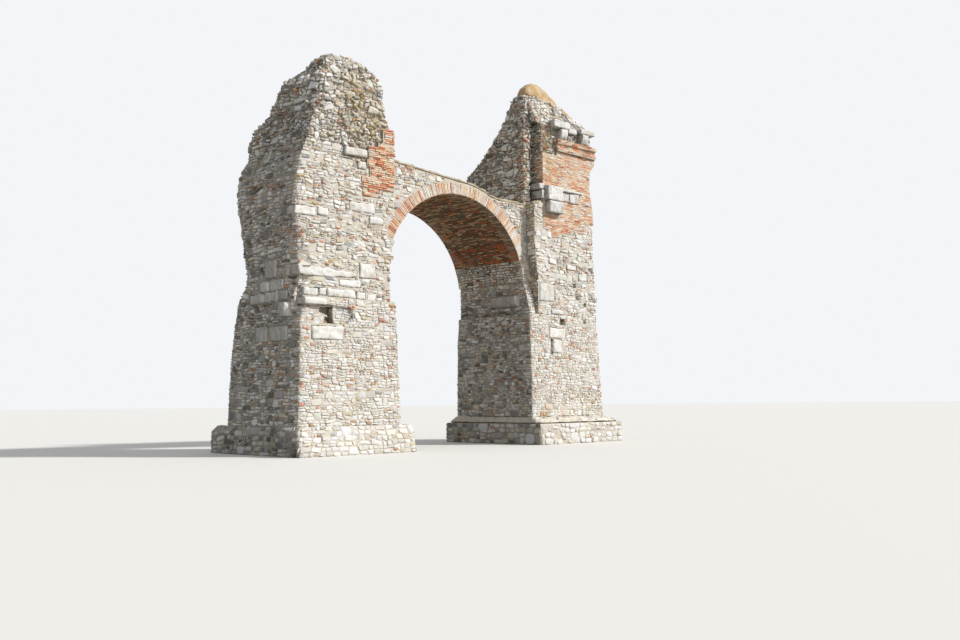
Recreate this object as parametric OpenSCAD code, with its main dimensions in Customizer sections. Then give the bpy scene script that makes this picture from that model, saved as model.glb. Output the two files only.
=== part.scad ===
// Ruin of a four-way triumphal arch: two rubble piers and the one arch that still
// joins them. The front faces -Y, the ground is z = 0, and the origin is the middle
// of the plan. The missing arches and piers are not restored.

/* [Piers] */
// Clear width of the passage between the lower shafts
passage_w = 6480; // [5400:20:7800]
// Width of each pier's lower shaft
pier_w = 4010; // [3340:10:4820]
// Depth of each pier from front to back
pier_d = 4150; // [3450:10:4980]
// Height of the ledge where the lower shafts end
ledge_z = 4950; // [4200:10:5940]
// How far above the wall top at the crown the left pier's bare core starts
left_core_rise = 30; // [-100:5:200]
// Height of the left pier's bare core with its broken top
left_core_h = 3550; // [2950:10:4260]
// How far below the wall top at the crown the right pier's bare core starts
right_core_drop = 270; // [120:5:400]
// Height of the right pier's bare core
right_core_h = 4300; // [3600:10:5160]
// Height of the right pier's mortar cap, which is the highest piece
cap_h = 700; // [500:10:900]

/* [Plinths] */
// Height of the left plinth
left_plinth_h = 900; // [700:10:1100]
// Height of the right plinth's upright face
right_plinth_h = 780; // [600:10:900]
// Height of the sloping mortar on the right plinth
weathering_h = 270; // [150:10:400]
// How far a plinth stands out past a pier's outer side
plinth_side = 650; // [400:10:900]
// How far a plinth stands out in front and behind
plinth_front = 575; // [350:5:800]
// How far a plinth stands out into the passage
plinth_inner = 250; // [100:10:350]

/* [Arch] */
// How far the right foot of the arch's curve lies behind the pier's inner side
arch_seat = 4; // [0:1:30]
// Thickness of the ring of bricks
ring_t = 420; // [250:10:520]
// Depth of each brick ring from its face inwards
ring_d = 450; // [250:10:700]
// Height of the arch's springing above the ledge
spring_rise = 780; // [500:10:1000]
// How far the arch's centre lies left of the middle of the passage
arch_shift = 136; // [0:2:200]
// How far the arch's front face lies behind the piers' front
arch_set = 430; // [200:10:600]
// How far the arch's back face lies in front of the piers' back
arch_back_set = 100; // [50:10:400]
// Angle above the springing at which the bricks start on the right
ring_right_angle = 8; // [4:1:14]
// Angle above the springing at which the bricks start on the left
ring_left_angle = 24; // [18:1:30]
// Height of the fill between the ring's crown and the mortar over it
fill_h = 40; // [20:5:120]
// Thickness of the mortar that covers the wall top
deck_t = 180; // [80:10:300]

/* [Blocks] */
// How deep a cut block sits in the wall
block_d = 420; // [200:10:600]
// How far a cut block stands out of the wall
block_proud = 45; // [10:5:90]
// Open joint between neighbouring blocks
joint = 16; // [8:2:24]
// How far the two large console blocks stand out
console_proud = 230; // [100:10:320]
// How far the impost block reaches into the passage
impost_out = 300; // [150:10:400]
// Thickness of the brick facing and of the brick quoin
facing_t = 300; // [200:10:400]

/* [Hidden] */

left_x0 = -passage_w / 2 - pier_w;
left_x1 = -passage_w / 2;
right_x0 = passage_w / 2;
front_y = -pier_d / 2;
back_y = pier_d / 2;
arch_x = -arch_shift;
arch_y0 = front_y + arch_set;
arch_y1 = back_y - arch_back_set;
arch_r = passage_w / 2 + arch_shift + arch_seat;
ring_r = arch_r + ring_t;
spring_z = ledge_z + spring_rise;
// Height of the wall top over the crown
crown_z = spring_z + ring_r + fill_h;
// Heights where the piers' bare cores start and end
left_shaft_z = crown_z + left_core_rise;
left_top_z = left_shaft_z + left_core_h;
right_shaft_z = crown_z - max(right_core_drop, ring_t - deck_t);
right_core_z = right_shaft_z + right_core_h;
right_top_z = right_core_z + cap_h;
// Length that lets a cut run clear of what it cuts
overrun = 300;
// Sides of the arch's circles
smooth = 720;
// Most that weather has taken off a plinth, off a shaft's face and off the bare core
plinth_wear = 14;
shaft_wear = 30;
core_wear = 110;
right_base_z = right_plinth_h + weathering_h;

// The wall top rises gently to the left of the crown, and to the right it follows
// the ring down to a level stretch that is one ring's thickness lower
wall_rise_share = 0.08;
wall_follow_share = 0.9;
function wall_top(x) = x < arch_x
    ? crown_z + wall_rise_share * (arch_x - x)
    : max(crown_z - ring_t,
        crown_z - wall_follow_share * (ring_r - sqrt(ring_r ^ 2 - (x - arch_x) ^ 2)));
left_deck_z = wall_top(left_x1) + 1.3 * deck_t;
// Where the wall over the arch starts at x: its foot has a flat of this width
foot_w = 0.15 * ring_t;
function wall_foot(x) = spring_z + sqrt(ring_r ^ 2 - (abs(x - arch_x) - foot_w) ^ 2);

ashlar = "#c9c2b2";
rubble_warm = "#cdbb98";
rubble_grey = "#a89c88";
brick_red = "#b9714d";
mortar_tan = "#c3a06b";

// Corner arc of a ring: three points from the start angle on, a quarter turn in all
function corner(cx, cy, r, start) =
    [for (k = [0:2]) [cx + r * cos(start + 45 * k), cy + r * sin(start + 45 * k)]];

// Three points between two ends of a straight side
function between(a, b) = [for (t = [1:3]) a + (b - a) * t / 4];

// Plan of a pier at one height: a box with four rounded corners, as 24 points that
// run anticlockwise from the front left corner, which lies inset to the right
function plan(x0, x1, y0, y1, c, inset) = let (
    fl = corner(x0 + inset + c[0], y0 + c[0], c[0], 180),
    fr = corner(x1 - c[1], y0 + c[1], c[1], 270),
    br = corner(x1 - c[2], y1 - c[2], c[2], 0),
    bl = corner(x0 + c[3], y1 - c[3], c[3], 90))
    concat(fl, between(fl[2], fr[0]), fr, between(fr[2], br[0]),
        br, between(br[2], bl[0]), bl, between(bl[2], fl[0]));

// How much weather has taken off at point i of level k, from 0 to 1
function wear(i, k) = 0.5 + 0.5 * sin(i * 137 + k * 83) * cos(i * 59 - k * 31);

// One level of a weathered mass. A row holds the height share, then the share of the
// width taken off at the left and right, the share of the depth taken off at the
// front and back, the corner radii as shares of the width and, where the left side runs
// askew, the inset of its front end as a share of the width
function level(row, x0, z0, z1, k, worn) = let (
    z = z0 + row[0] * (z1 - z0),
    inset = len(row) > 6 ? row[6] * pier_w : 0,
    points = plan(x0 + row[1] * pier_w, x0 + (1 - row[2]) * pier_w,
        front_y + row[3] * pier_d, back_y - row[4] * pier_d, row[5] * pier_w, inset),
    centre = [x0 + pier_w / 2, (points[4][1] + points[16][1]) / 2])
    [for (i = [0:len(points) - 1]) let (
        inwards = centre - points[i],
        p = points[i] + inwards / norm(inwards) * worn * wear(i, k)) [p[0], p[1], z]];

// Mean of a ring's points
function middle(ring) = [for (p = ring) 1 / len(ring)] * ring;

// A closed body through a list of levels that all have the same number of points. Each
// end is a fan of triangles about the middle of its level
module loft(levels) {
    n = len(levels[0]);
    last = len(levels) - 1;
    points = concat([for (ring = levels) each ring],
        [middle(levels[0]), middle(levels[last])]);
    floor_middle = len(points) - 2;
    top_middle = len(points) - 1;
    sides = [for (k = [0:last - 1], i = [0:n - 1]) let (
        a = k * n + i,
        b = k * n + (i + 1) % n)
        each [[a, a + n, b + n], [a, b + n, b]]];
    ends = [for (i = [0:n - 1]) let (
        a = i,
        b = (i + 1) % n)
        each [[floor_middle, a, b], [top_middle, last * n + b, last * n + a]]];
    polyhedron(points, concat(sides, ends));
}

module weathered(rows, x0, z0, z1, worn) {
    loft([for (k = [0:len(rows) - 1]) level(rows[k], x0, z0, z1, k, worn)]);
}

// A box given by its lowest and highest corner
module span(low, high) {
    translate(low)
        cube(high - low);
}

// Pieces of the arch: the part of a ring between two radii and two angles, counted
// from the right springing, that runs from y0 to y1
module arch_piece(r0, r1, a0, a1, y0, y1) {
    reach = 2 * r1;
    translate([arch_x, y1, spring_z])
        rotate([90, 0, 0])
            linear_extrude(y1 - y0)
                intersection() {
                    difference() {
                        circle(r1, $fn = smooth);
                        circle(r0, $fn = smooth);
                    }
                    polygon([[0, 0], for (s = [0:4]) let (a = a0 + (a1 - a0) * s / 4)
                        [reach * cos(a), reach * sin(a)]]);
                }
}

// The room that the passage, the arch and the wall over it take out of the piers
module arch_room() {
    y0 = front_y - plinth_front;
    y1 = back_y + plinth_front;
    span([left_x1, y0, wall_foot(left_x1)], [arch_x, y1, left_deck_z]);
    span([arch_x, y0, wall_foot(right_x0)], [right_x0, y1, left_deck_z]);
    span([arch_x - arch_r, y0, ledge_z - overrun], [arch_x + arch_r, y1, spring_z]);
    translate([arch_x, y1, spring_z])
        rotate([90, 0, 0])
            cylinder(h = y1 - y0, r = arch_r, $fn = smooth);
    arch_piece(arch_r / 2, ring_r, ring_right_angle, 180 - ring_left_angle, y0, y1);
}

// Left pier

plinth_side_share = plinth_side / pier_w;
plinth_inner_share = plinth_inner / pier_w;
plinth_front_share = plinth_front / pier_d;
even_corner_shares = [0.03, 0.03, 0.03, 0.03];

left_plinth_shares = [
    [0, -plinth_side_share, -plinth_inner_share, -0.012, -plinth_front_share,
        even_corner_shares],
    [0.8, -0.94 * plinth_side_share, -0.9 * plinth_inner_share, -0.008,
        -0.94 * plinth_front_share, even_corner_shares],
    [1, -0.7 * plinth_side_share, -0.6 * plinth_inner_share, 0,
        -0.7 * plinth_front_share, even_corner_shares]];

left_lower_shares = [
    [0, -0.01, -0.01, 0, -0.03, [0.03, 0.03, 0.04, 0.04]],
    [0.3, -0.002, -0.004, 0, -0.015, [0.03, 0.03, 0.04, 0.04]],
    [0.6, 0.003, 0.012, 0.002, 0.01, [0.03, 0.03, 0.04, 0.05]],
    [0.79, 0.005, 0.022, 0.003, 0.03, [0.04, 0.03, 0.05, 0.06]],
    [0.84, 0.006, 0.025, 0.003, 0.035, [0.12, 0.03, 0.05, 0.07]],
    [1, 0.01, 0.03, 0.005, 0.045, [0.13, 0.04, 0.05, 0.10]]];

left_upper_shares = [
    [0, 0.005, -0.02, 0.05, 0.05, [0.06, 0.02, 0.05, 0.10]],
    [0.10, 0.010, -0.02, 0.052, 0.055, [0.15, 0.02, 0.05, 0.22]],
    [0.20, 0.020, -0.02, 0.058, 0.06, [0.17, 0.02, 0.05, 0.24]],
    [0.33, 0.015, -0.02, 0.07, 0.06, [0.10, 0.02, 0.05, 0.20]],
    [0.46, 0.010, -0.02, 0.078, 0.055, [0.04, 0.02, 0.05, 0.16]],
    [0.65, 0.005, -0.02, 0.078, 0.05, [0.04, 0.02, 0.05, 0.10]],
    [0.80, 0.003, -0.02, 0.078, 0.045, [0.03, 0.02, 0.06, 0.06], 0.015],
    [0.92, 0.005, -0.02, 0.08, 0.055, [0.03, 0.02, 0.08, 0.10], 0.035],
    [1, 0.012, -0.03, 0.085, 0.08, [0.03, 0.03, 0.10, 0.16], 0.06]];

left_core_shares = [
    [0, 0.012, -0.03, 0.085, 0.08, [0.03, 0.03, 0.10, 0.16], 0.06],
    [0.17, 0.020, -0.02, 0.085, 0.10, [0.04, 0.03, 0.14, 0.18], 0.11],
    [0.31, 0.030, 0.00, 0.09, 0.17, [0.05, 0.04, 0.16, 0.20], 0.13],
    [0.43, 0.060, 0.02, 0.095, 0.32, [0.05, 0.06, 0.20, 0.20], 0.13],
    [0.60, 0.085, 0.07, 0.10, 0.44, [0.05, 0.06, 0.20, 0.16], 0.15],
    [0.72, 0.130, 0.05, 0.11, 0.50, [0.05, 0.06, 0.18, 0.14], 0.12],
    [0.755, 0.175, 0.05, 0.115, 0.52, [0.05, 0.06, 0.17, 0.11], 0.09],
    [0.845, 0.290, 0.08, 0.125, 0.56, [0.04, 0.08, 0.13, 0.07], 0.02],
    [0.93, 0.325, 0.15, 0.14, 0.60, [0.05, 0.10, 0.10, 0.06], 0.01],
    [0.98, 0.370, 0.24, 0.165, 0.65, [0.05, 0.06, 0.06, 0.05], 0.01],
    [1, 0.430, 0.34, 0.20, 0.69, [0.03, 0.03, 0.03, 0.03], 0]];

lower_h = ledge_z - left_plinth_h;
left_upper_h = left_shaft_z - ledge_z;

// Blocks on the left pier's front: left and right edge as shares of the pier's
// width, bottom and top as shares of the shaft's height
band_shares = [
    [0.072, 0.214, 0.008, 0.064], [0.216, 0.294, 0.014, 0.068], [0.297, 0.582, 0.009, 0.066],
    [0.584, 0.680, 0.007, 0.060]];
long_block_shares = [0.022, 0.592, 0.142, 0.214];
upright_block_shares = [0.618, 0.785, 0.159, 0.269];
short_block_shares = [0.411, 0.636, 0.087, 0.139];
low_block_shares = [0.112, 0.419, 0.667, 0.776];
lower_band_shares = [[0.040, 0.257, 0.934, 0.990]];
upper_block_shares = [
    [0.484, 0.716, 1.030, 1.088], [0.616, 0.704, 0.942, 0.996], [0.004, 0.197, 0.553, 0.620],
    [0.217, 0.324, 0.568, 0.626], [0.529, 0.798, 0.632, 0.702], [0.731, 0.888, 0.557, 0.611]];
// Blocks on the left pier's left side: front and back edge as shares of its depth
side_block_shares = [
    [0.23, 0.42, 0.055, 0.130], [0.43, 0.56, 0.055, 0.125], [0.17, 0.30, -0.022, 0.050],
    [0.30, 0.50, -0.022, 0.050], [0.50, 0.70, -0.022, 0.046], [0.33, 0.49, 0.145, 0.270],
    [0.165, 0.437, -0.295, -0.190], [0.449, 0.618, -0.295, -0.181]];

upper_face_y = front_y + 0.058 * pier_d;
side_face_x = left_x0 + 0.012 * pier_w;

// One block in a front wall, or its pocket when it is cut past the face
module front_block(x0, shares, z0, h, face_y, out, grow = 0) {
    span([x0 + shares[0] * pier_w + joint / 2 - grow, face_y - out, z0 + shares[2] * h],
        [x0 + shares[1] * pier_w - joint / 2 + grow, face_y + block_d, z0 + shares[3] * h]);
}

// The same in the left wall. It starts behind the blocks in the front wall
module side_block(shares, z0, h, out, grow = 0) {
    start = max(front_y + shares[0] * pier_d + joint / 2, upper_face_y + block_d + joint);
    span([side_face_x - out, start - grow, z0 + shares[2] * h],
        [side_face_x + block_d, front_y + shares[1] * pier_d - joint / 2 + grow,
            z0 + shares[3] * h]);
}

module band_blocks(out, grow = 0) {
    for (shares = band_shares)
        front_block(left_x0, shares, ledge_z, left_upper_h, upper_face_y, out, grow);
    front_block(left_x0, short_block_shares, ledge_z, left_upper_h, upper_face_y, out, grow);
}

module lower_band_blocks(out, grow = 0) {
    for (shares = lower_band_shares)
        front_block(left_x0, shares, left_plinth_h, lower_h, front_y, out, grow);
}

module upper_blocks(out, grow = 0) {
    for (shares = upper_block_shares)
        front_block(left_x0, shares, ledge_z, left_upper_h, front_y + 0.08 * pier_d, out, grow);
}

module side_blocks(out, grow = 0) {
    for (shares = side_block_shares)
        side_block(shares, ledge_z, left_upper_h, out, grow);
}

// Outline of the brick quoin beside the arch, toothed into the rubble on its left
quoin_x0 = left_x0 + 0.66 * pier_w;
quoin_x1 = left_x1;
quoin_z0 = ledge_z + 0.756 * left_upper_h;
quoin_h = 0.515 * left_upper_h;
quoin_w = quoin_x1 - quoin_x0;
quoin_shares = [
    [0.02, 0], [0.59, 0], [0.59, 0.12], [1, 0.12], [1, 1], [0.65, 1], [0.65, 0.79],
    [0.50, 0.79], [0.50, 0.715], [0.215, 0.715], [0.215, 0.52], [0.16, 0.52], [0.16, 0.42],
    [0.24, 0.42], [0.24, 0.27], [0, 0.27], [0, 0.10], [0.02, 0.10]];

module quoin_shape(out) {
    face = front_y + 0.08 * pier_d;
    translate([quoin_x0, face + facing_t, quoin_z0])
        rotate([90, 0, 0])
            linear_extrude(facing_t + out)
                polygon([for (p = quoin_shares) [p[0] * quoin_w, p[1] * quoin_h]]);
}

// Rooms that decay has left in the left pier. The corner under and over the ledge is
// broken, as two steps
corner_step_shares = [[0.070, 0.10, -0.068, 0.073], [0.028, 0.12, 0.066, 0.240]];

module corner_steps() {
    for (s = corner_step_shares)
        span([left_x0 - overrun, front_y - overrun, ledge_z + s[2] * left_upper_h],
            [left_x0 + s[0] * pier_w, front_y + s[1] * pier_d, ledge_z + s[3] * left_upper_h]);
}

// The left face stands back under its band of blocks: front and back edge as shares of
// the depth, bottom and top as shares of the upper shaft's height
side_recess_shares = [0.19, 0.72, -0.176, -0.03];
side_recess_d = 0.045 * pier_w;

module side_recess() {
    s = side_recess_shares;
    span([left_x0 - overrun, front_y + s[0] * pier_d, ledge_z + s[2] * left_upper_h],
        [left_x0 + side_recess_d, front_y + s[1] * pier_d, ledge_z + s[3] * left_upper_h]);
}

// The front is hollowed out between the lower band and the low block, and deeper at the
// hole. Outlines as shares of the pier's width and of the lower shaft's height
front_hollow_shares = [[0.07, 0.795], [0.30, 0.785], [0.46, 0.800], [0.52, 0.86], [0.49, 0.93],
    [0.27, 0.945], [0.06, 0.945], [0.04, 0.88]];
front_hole_shares = [[0.245, 0.80], [0.335, 0.795], [0.33, 0.93], [0.21, 0.92], [0.20, 0.885],
    [0.262, 0.865]];

module front_hollow(shares, depth) {
    translate([left_x0, front_y + depth, left_plinth_h])
        rotate([90, 0, 0])
            linear_extrude(depth + overrun)
                polygon([for (p = shares) [p[0] * pier_w, p[1] * lower_h]]);
}

module left_plinth() {
    color(rubble_grey)
        weathered(left_plinth_shares, left_x0, 0, left_plinth_h, plinth_wear);
}

module left_lower_shaft() {
    color(rubble_warm)
        difference() {
            weathered(left_lower_shares, left_x0, left_plinth_h, ledge_z, shaft_wear);
            lower_band_blocks(overrun, joint / 2);
            front_block(left_x0, low_block_shares, left_plinth_h, lower_h, front_y, overrun);
            side_blocks(overrun, joint / 2);
            corner_block_shape(overrun);
            corner_steps();
            side_recess();
            front_hollow(front_hollow_shares, 0.03 * pier_d);
            front_hollow(front_hole_shares, 0.11 * pier_d);
        }
}

module left_upper_shaft() {
    color(rubble_warm)
        difference() {
            weathered(left_upper_shares, left_x0, ledge_z, left_shaft_z, shaft_wear);
            arch_room();
            band_blocks(overrun, joint / 2);
            long_block_shape(overrun);
            front_block(left_x0, upright_block_shares, ledge_z, left_upper_h, upper_face_y,
                overrun);
            upper_blocks(overrun);
            side_blocks(overrun, joint / 2);
            corner_steps();
            quoin_shape(overrun);
        }
}

module left_core() {
    color(rubble_grey)
        difference() {
            weathered(left_core_shares, left_x0, left_shaft_z, left_top_z, core_wear);
            arch_room();
            upper_blocks(overrun);
            quoin_shape(overrun);
        }
}

module left_band_blocks() {
    color(ashlar) {
        band_blocks(block_proud);
        lower_band_blocks(block_proud);
    }
}

// The long broken block: its top falls and its foot rises towards the right
long_outline_shares = [[0.02, 0.04], [0.3, 0], [0.57, 0.03], [0.97, 0.2], [1, 0.68],
    [0.88, 0.80], [0.68, 0.72], [0.55, 0.93], [0.25, 0.96], [0, 1]];

module long_block_shape(out) {
    s = long_block_shares;
    w = (s[1] - s[0]) * pier_w;
    h = (s[3] - s[2]) * left_upper_h;
    translate([left_x0 + s[0] * pier_w, upper_face_y + block_d, ledge_z + s[2] * left_upper_h])
        rotate([90, 0, 0])
            linear_extrude(block_d + out)
                polygon([for (p = long_outline_shares) [p[0] * w, p[1] * h]]);
}

module left_long_block() {
    color(ashlar)
        long_block_shape(block_proud);
}

module left_upright_block() {
    color(ashlar)
        front_block(left_x0, upright_block_shares, ledge_z, left_upper_h, upper_face_y,
            block_proud);
}

module left_low_block() {
    s = low_block_shares;
    hole_r = joint * 2;
    color(ashlar)
        difference() {
            front_block(left_x0, s, left_plinth_h, lower_h, front_y, block_proud / 2);
            translate([left_x0 + (s[0] + s[1]) / 2 * pier_w, front_y + block_d / 4,
                left_plinth_h + (s[2] + 0.3 * (s[3] - s[2])) * lower_h])
                rotate([90, 0, 0])
                    cylinder(h = block_d, r = hole_r, $fn = 24);
        }
}

module left_side_blocks() {
    color(ashlar)
        side_blocks(block_proud);
}

// A broken block that stands out near the corner a little under the ledge, seen from above
corner_outline_shares = [[0, 0.15], [0.3, 0], [1, 0], [1, 1], [0.12, 1], [0, 0.85]];

module corner_block_shape(out) {
    w = block_d + out;
    d = 0.11 * pier_d;
    h = 1.1 * block_d;
    translate([side_face_x - out, front_y + 0.13 * pier_d, ledge_z - 0.035 * left_upper_h - h])
        linear_extrude(h)
            polygon([for (p = corner_outline_shares) [p[0] * w, p[1] * d]]);
}

module left_corner_block() {
    color(ashlar)
        corner_block_shape(5 * block_proud);
}

module left_upper_blocks() {
    color(ashlar)
        upper_blocks(block_proud);
}

module left_brick_quoin() {
    color(brick_red)
        quoin_shape(block_proud / 2);
}

// Right pier

right_plinth_shares = [
    [0, -plinth_inner_share, -plinth_side_share, -plinth_front_share, -plinth_front_share,
        even_corner_shares],
    [0.85, -0.95 * plinth_inner_share, -0.97 * plinth_side_share, -0.97 * plinth_front_share,
        -0.97 * plinth_front_share, even_corner_shares],
    [1, -0.85 * plinth_inner_share, -0.92 * plinth_side_share, -0.9 * plinth_front_share,
        -0.9 * plinth_front_share, even_corner_shares]];

weathering_shares = [
    [0, -0.8 * plinth_inner_share, -0.88 * plinth_side_share, -0.85 * plinth_front_share,
        -0.85 * plinth_front_share, even_corner_shares],
    [0.6, -0.5 * plinth_inner_share, -0.55 * plinth_side_share, -0.4 * plinth_front_share,
        -0.45 * plinth_front_share, even_corner_shares],
    [1, -0.025, -0.04, -0.006, -0.03, even_corner_shares]];

right_lower_shares = [
    [0, -0.02, -0.035, 0, -0.02, [0.02, 0.03, 0.04, 0.03]],
    [0.35, -0.025, -0.012, 0, -0.01, [0.02, 0.03, 0.04, 0.03]],
    [0.75, -0.035, 0.015, 0, 0.01, [0.02, 0.03, 0.05, 0.03]],
    [1, -0.04, 0.03, 0.002, 0.03, [0.03, 0.04, 0.06, 0.04]]];

right_upper_shares = [
    [0, -0.02, 0.030, 0.004, 0.035, [0.02, 0.04, 0.06, 0.03]],
    [0.24, -0.02, 0.035, 0.003, 0.035, [0.02, 0.04, 0.06, 0.03]],
    [0.6, -0.02, 0.060, 0.002, 0.03, [0.02, 0.05, 0.07, 0.03]],
    [0.8, -0.02, 0.075, 0, 0.03, [0.02, 0.04, 0.08, 0.03]],
    [1, -0.035, 0.085, 0, 0.035, [0.02, 0.04, 0.10, 0.04]]];

right_core_shares = [
    [0, -0.035, 0.085, 0, 0.035, [0.02, 0.04, 0.10, 0.04]],
    [0.073, 0.00, 0.10, 0.003, 0.04, [0.02, 0.04, 0.10, 0.06]],
    [0.202, 0.00, 0.135, 0.005, 0.05, [0.03, 0.03, 0.12, 0.08]],
    [0.349, 0.00, 0.115, 0.005, 0.09, [0.03, 0.03, 0.14, 0.10]],
    [0.459, 0.00, 0.050, 0.01, 0.25, [0.03, 0.03, 0.14, 0.10]],
    [0.588, 0.00, 0.050, 0.01, 0.45, [0.03, 0.03, 0.12, 0.08]],
    [0.772, 0.01, 0.055, 0.02, 0.59, [0.04, 0.05, 0.10, 0.07]],
    [0.827, 0.015, 0.12, 0.04, 0.62, [0.05, 0.08, 0.08, 0.06]],
    [0.919, 0.03, 0.30, 0.09, 0.69, [0.06, 0.08, 0.05, 0.05]],
    [1, 0.07, 0.46, 0.125, 0.715, [0.05, 0.06, 0.04, 0.04]]];

cap_shares = [
    [0, 0.075, 0.465, 0.130, 0.720, [0.05, 0.06, 0.04, 0.04]],
    [0.20, 0.085, 0.490, 0.135, 0.725, [0.05, 0.06, 0.05, 0.05]],
    [0.55, 0.115, 0.535, 0.150, 0.735, [0.05, 0.055, 0.05, 0.05]],
    [0.85, 0.175, 0.600, 0.185, 0.750, [0.025, 0.025, 0.025, 0.025]],
    [1, 0.23, 0.66, 0.205, 0.765, [0.012, 0.012, 0.012, 0.012]]];

right_lower_h = ledge_z - right_base_z;
right_upper_h = right_shaft_z - ledge_z;
// Right edge of the strip that stands back beside the arch, and of the broken groove
strip_x = right_x0 + 0.09 * pier_w;
groove_x = right_x0 + 0.17 * pier_w;
groove_y = front_y + 0.21 * pier_d;

// A box in the right pier's front wall. A row holds its left and right edge as
// shares of the pier's width, its bottom and top as shares of h over z0, and how far
// it stands out as a share of the full reach, and where it is longer than a block, its
// length as a share of one. A pocket is the same box cut past the face
module right_box(row, z0, h, reach, pocket) {
    out = pocket ? overrun : row[4] * reach;
    long = len(row) > 5 ? row[5] * block_d : block_d;
    span([right_x0 + row[0] * pier_w, front_y - out, z0 + row[2] * h],
        [right_x0 + row[1] * pier_w, front_y + long, z0 + row[3] * h]);
}

// Console group halfway up: two large blocks, a sunk one at the side of the groove on
// their left and two smaller ones on their right, with thin broken slabs
console_z = right_shaft_z;
console_h = 0.184 * right_core_h;
console_block_shares = [
    [0.190, 0.409, 0.125, 0.86, 1], [0.202, 0.412, -0.49, 0.11, 1.15],
    [0.140, 0.187, 0.19, 0.62, 0.3, 1.3], [0.430, 0.540, 0.24, 0.68, 0.25],
    [0.544, 0.686, 0.21, 0.69, 0.35]];
console_slab_shares = [[0.118, 0.187, 0.66, 0.95, 0.1, 1.9], [0.417, 0.740, 0.71, 0.84, 0.6]];

// Cornice: slabs on two brackets over a course of bricks that stands out
course_z0 = right_shaft_z + 0.5 * right_core_h;
course_h = 0.11 * right_core_h;
bracket_z0 = course_z0 + course_h;
bracket_h = 0.101 * right_core_h;
slab_z0 = bracket_z0 + bracket_h;
slab_h = 0.055 * right_core_h;
bracket_shares = [0.404, 0.725];
bracket_w_share = 0.095;
cornice_slab_shares = [[0.29, 0.54, 0, 1.3, 1], [0.55, 0.68, -0.3, 0.7, 0.3],
    [0.70, 0.925, 0, 0.9, 0.9]];

// Brick facing of the front, with its ragged outline, whose top steps up at the start
// of the course over it
course_start_share = 0.26;
facing_x0 = groove_x;
facing_w = 0.77 * pier_w;
facing_z0 = ledge_z + 0.70 * right_upper_h;
facing_h = course_z0 - facing_z0;
facing_shares = [
    [0, 0.09], [0.16, 0.09], [0.16, 0], [0.34, 0], [0.34, 0.06], [0.58, 0.06], [0.58, 0.12],
    [0.80, 0.12], [0.80, 0.21], [0.98, 0.21], [0.964, 0.40], [0.905, 0.63], [0.93, 0.85],
    [1.02, 0.935], [1.02, 1], [course_start_share, 1], [course_start_share, 0.95], [0, 0.95]];

module facing_shape(out) {
    translate([0, front_y + facing_t, 0])
        rotate([90, 0, 0])
            linear_extrude(facing_t + out)
                polygon([for (p = facing_shares)
                    [facing_x0 + p[0] * facing_w, facing_z0 + p[1] * facing_h]]);
}

module console_blocks(pocket) {
    for (row = console_block_shares)
        right_box(row, console_z, console_h, console_proud, pocket);
}

module console_slabs(pocket) {
    for (row = console_slab_shares)
        right_box(row, console_z, console_h, console_proud, pocket);
}

module cornice_slabs(pocket) {
    for (row = cornice_slab_shares)
        right_box(row, slab_z0, slab_h, console_proud, pocket);
}

// Profile of the brick course: two strings that stand out, with a sunk one between
course_profile_shares = [[0, 0], [0.8, 0], [0.8, 0.3], [0.25, 0.38], [0.25, 0.6], [1, 0.68],
    [1, 1], [0, 1]];
course_x0 = facing_x0 + course_start_share * facing_w;
course_x1 = right_x0 + 0.955 * pier_w;
course_out = 0.5 * console_proud;

module course_pocket() {
    span([course_x0, front_y - overrun, course_z0 - joint],
        [course_x1, front_y + facing_t, bracket_z0]);
}

module bracket_pockets() {
    for (share = bracket_shares)
        right_box([share, share + bracket_w_share, 0, 1, 0], bracket_z0, bracket_h, 0, true);
}

// Side of a bracket: its front hangs back in a hollow curve under a straight lip
module bracket(x) {
    out = 0.9 * console_proud;
    lip = 0.3 * bracket_h;
    curve = [for (s = [0:6]) let (a = 90 * s / 6)
        [-out * cos(a), (bracket_h - lip) * (1 - sin(a))]];
    translate([x, front_y, bracket_z0])
        rotate([90, 0, 90])
            linear_extrude(bracket_w_share * pier_w)
                polygon(concat([[block_d, 0], [block_d, bracket_h], [-out, bracket_h]], curve));
}

// Cut blocks in the rubble of the front, as rows for right_box
lower_front_shares = [[0.285, 0.410, 0.62, 0.755, 0.5], [0.235, 0.470, 0.765, 0.875, 0.4]];
upper_front_shares = [[0.105, 0.310, 0.115, 0.275, 0.5], [0.265, 0.440, 0.005, 0.047, 1],
    [0.68, 0.80, 0.33, 0.40, 0.6], [0.50, 0.64, 0.42, 0.47, 0.6]];
// The open slot beside the lower one, and the sockets that the scaffold's poles left
slot_shares = [0.255, 0.285, 0.605, 0.762, 0];
lower_socket_shares = [[0.746, 0.785, 0.934, 0.980, 0], [0.392, 0.462, 0.905, 0.965, 0]];
upper_socket_shares = [[0.633, 0.685, 0.156, 0.190, 0], [0.751, 0.796, 0.097, 0.133, 0],
    [0.594, 0.644, 0.264, 0.299, 0], [0.845, 0.900, 0.414, 0.460, 0]];

module front_boxes(pocket) {
    for (row = lower_front_shares)
        right_box(row, right_base_z, right_lower_h, block_proud, pocket);
    for (row = upper_front_shares)
        right_box(row, ledge_z, right_upper_h, block_proud, pocket);
}

// The impost block under the arch: a straight lip over a hollow curve
impost_y0 = arch_y0 + 0.06 * pier_d;
impost_y1 = front_y + 0.49 * pier_d;
impost_z0 = ledge_z + 0.07 * right_upper_h;
impost_h = 0.095 * right_upper_h;
impost_lip_share = 0.3;

module impost_shape() {
    sweep = (1 - impost_lip_share) * impost_h;
    translate([arch_x + arch_r, impost_y1, impost_z0])
        rotate([90, 0, 0])
            linear_extrude(impost_y1 - impost_y0)
                polygon(concat(
                    [[block_d, 0], [block_d, impost_h], [-impost_out, impost_h]],
                    [for (s = [0:6]) let (a = 90 * s / 6)
                        [-impost_out * cos(a), sweep * (1 - sin(a))]]));
}

module sockets(rows, z0, h) {
    for (row = rows)
        right_box(row, z0, h, 0, true);
}

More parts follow.
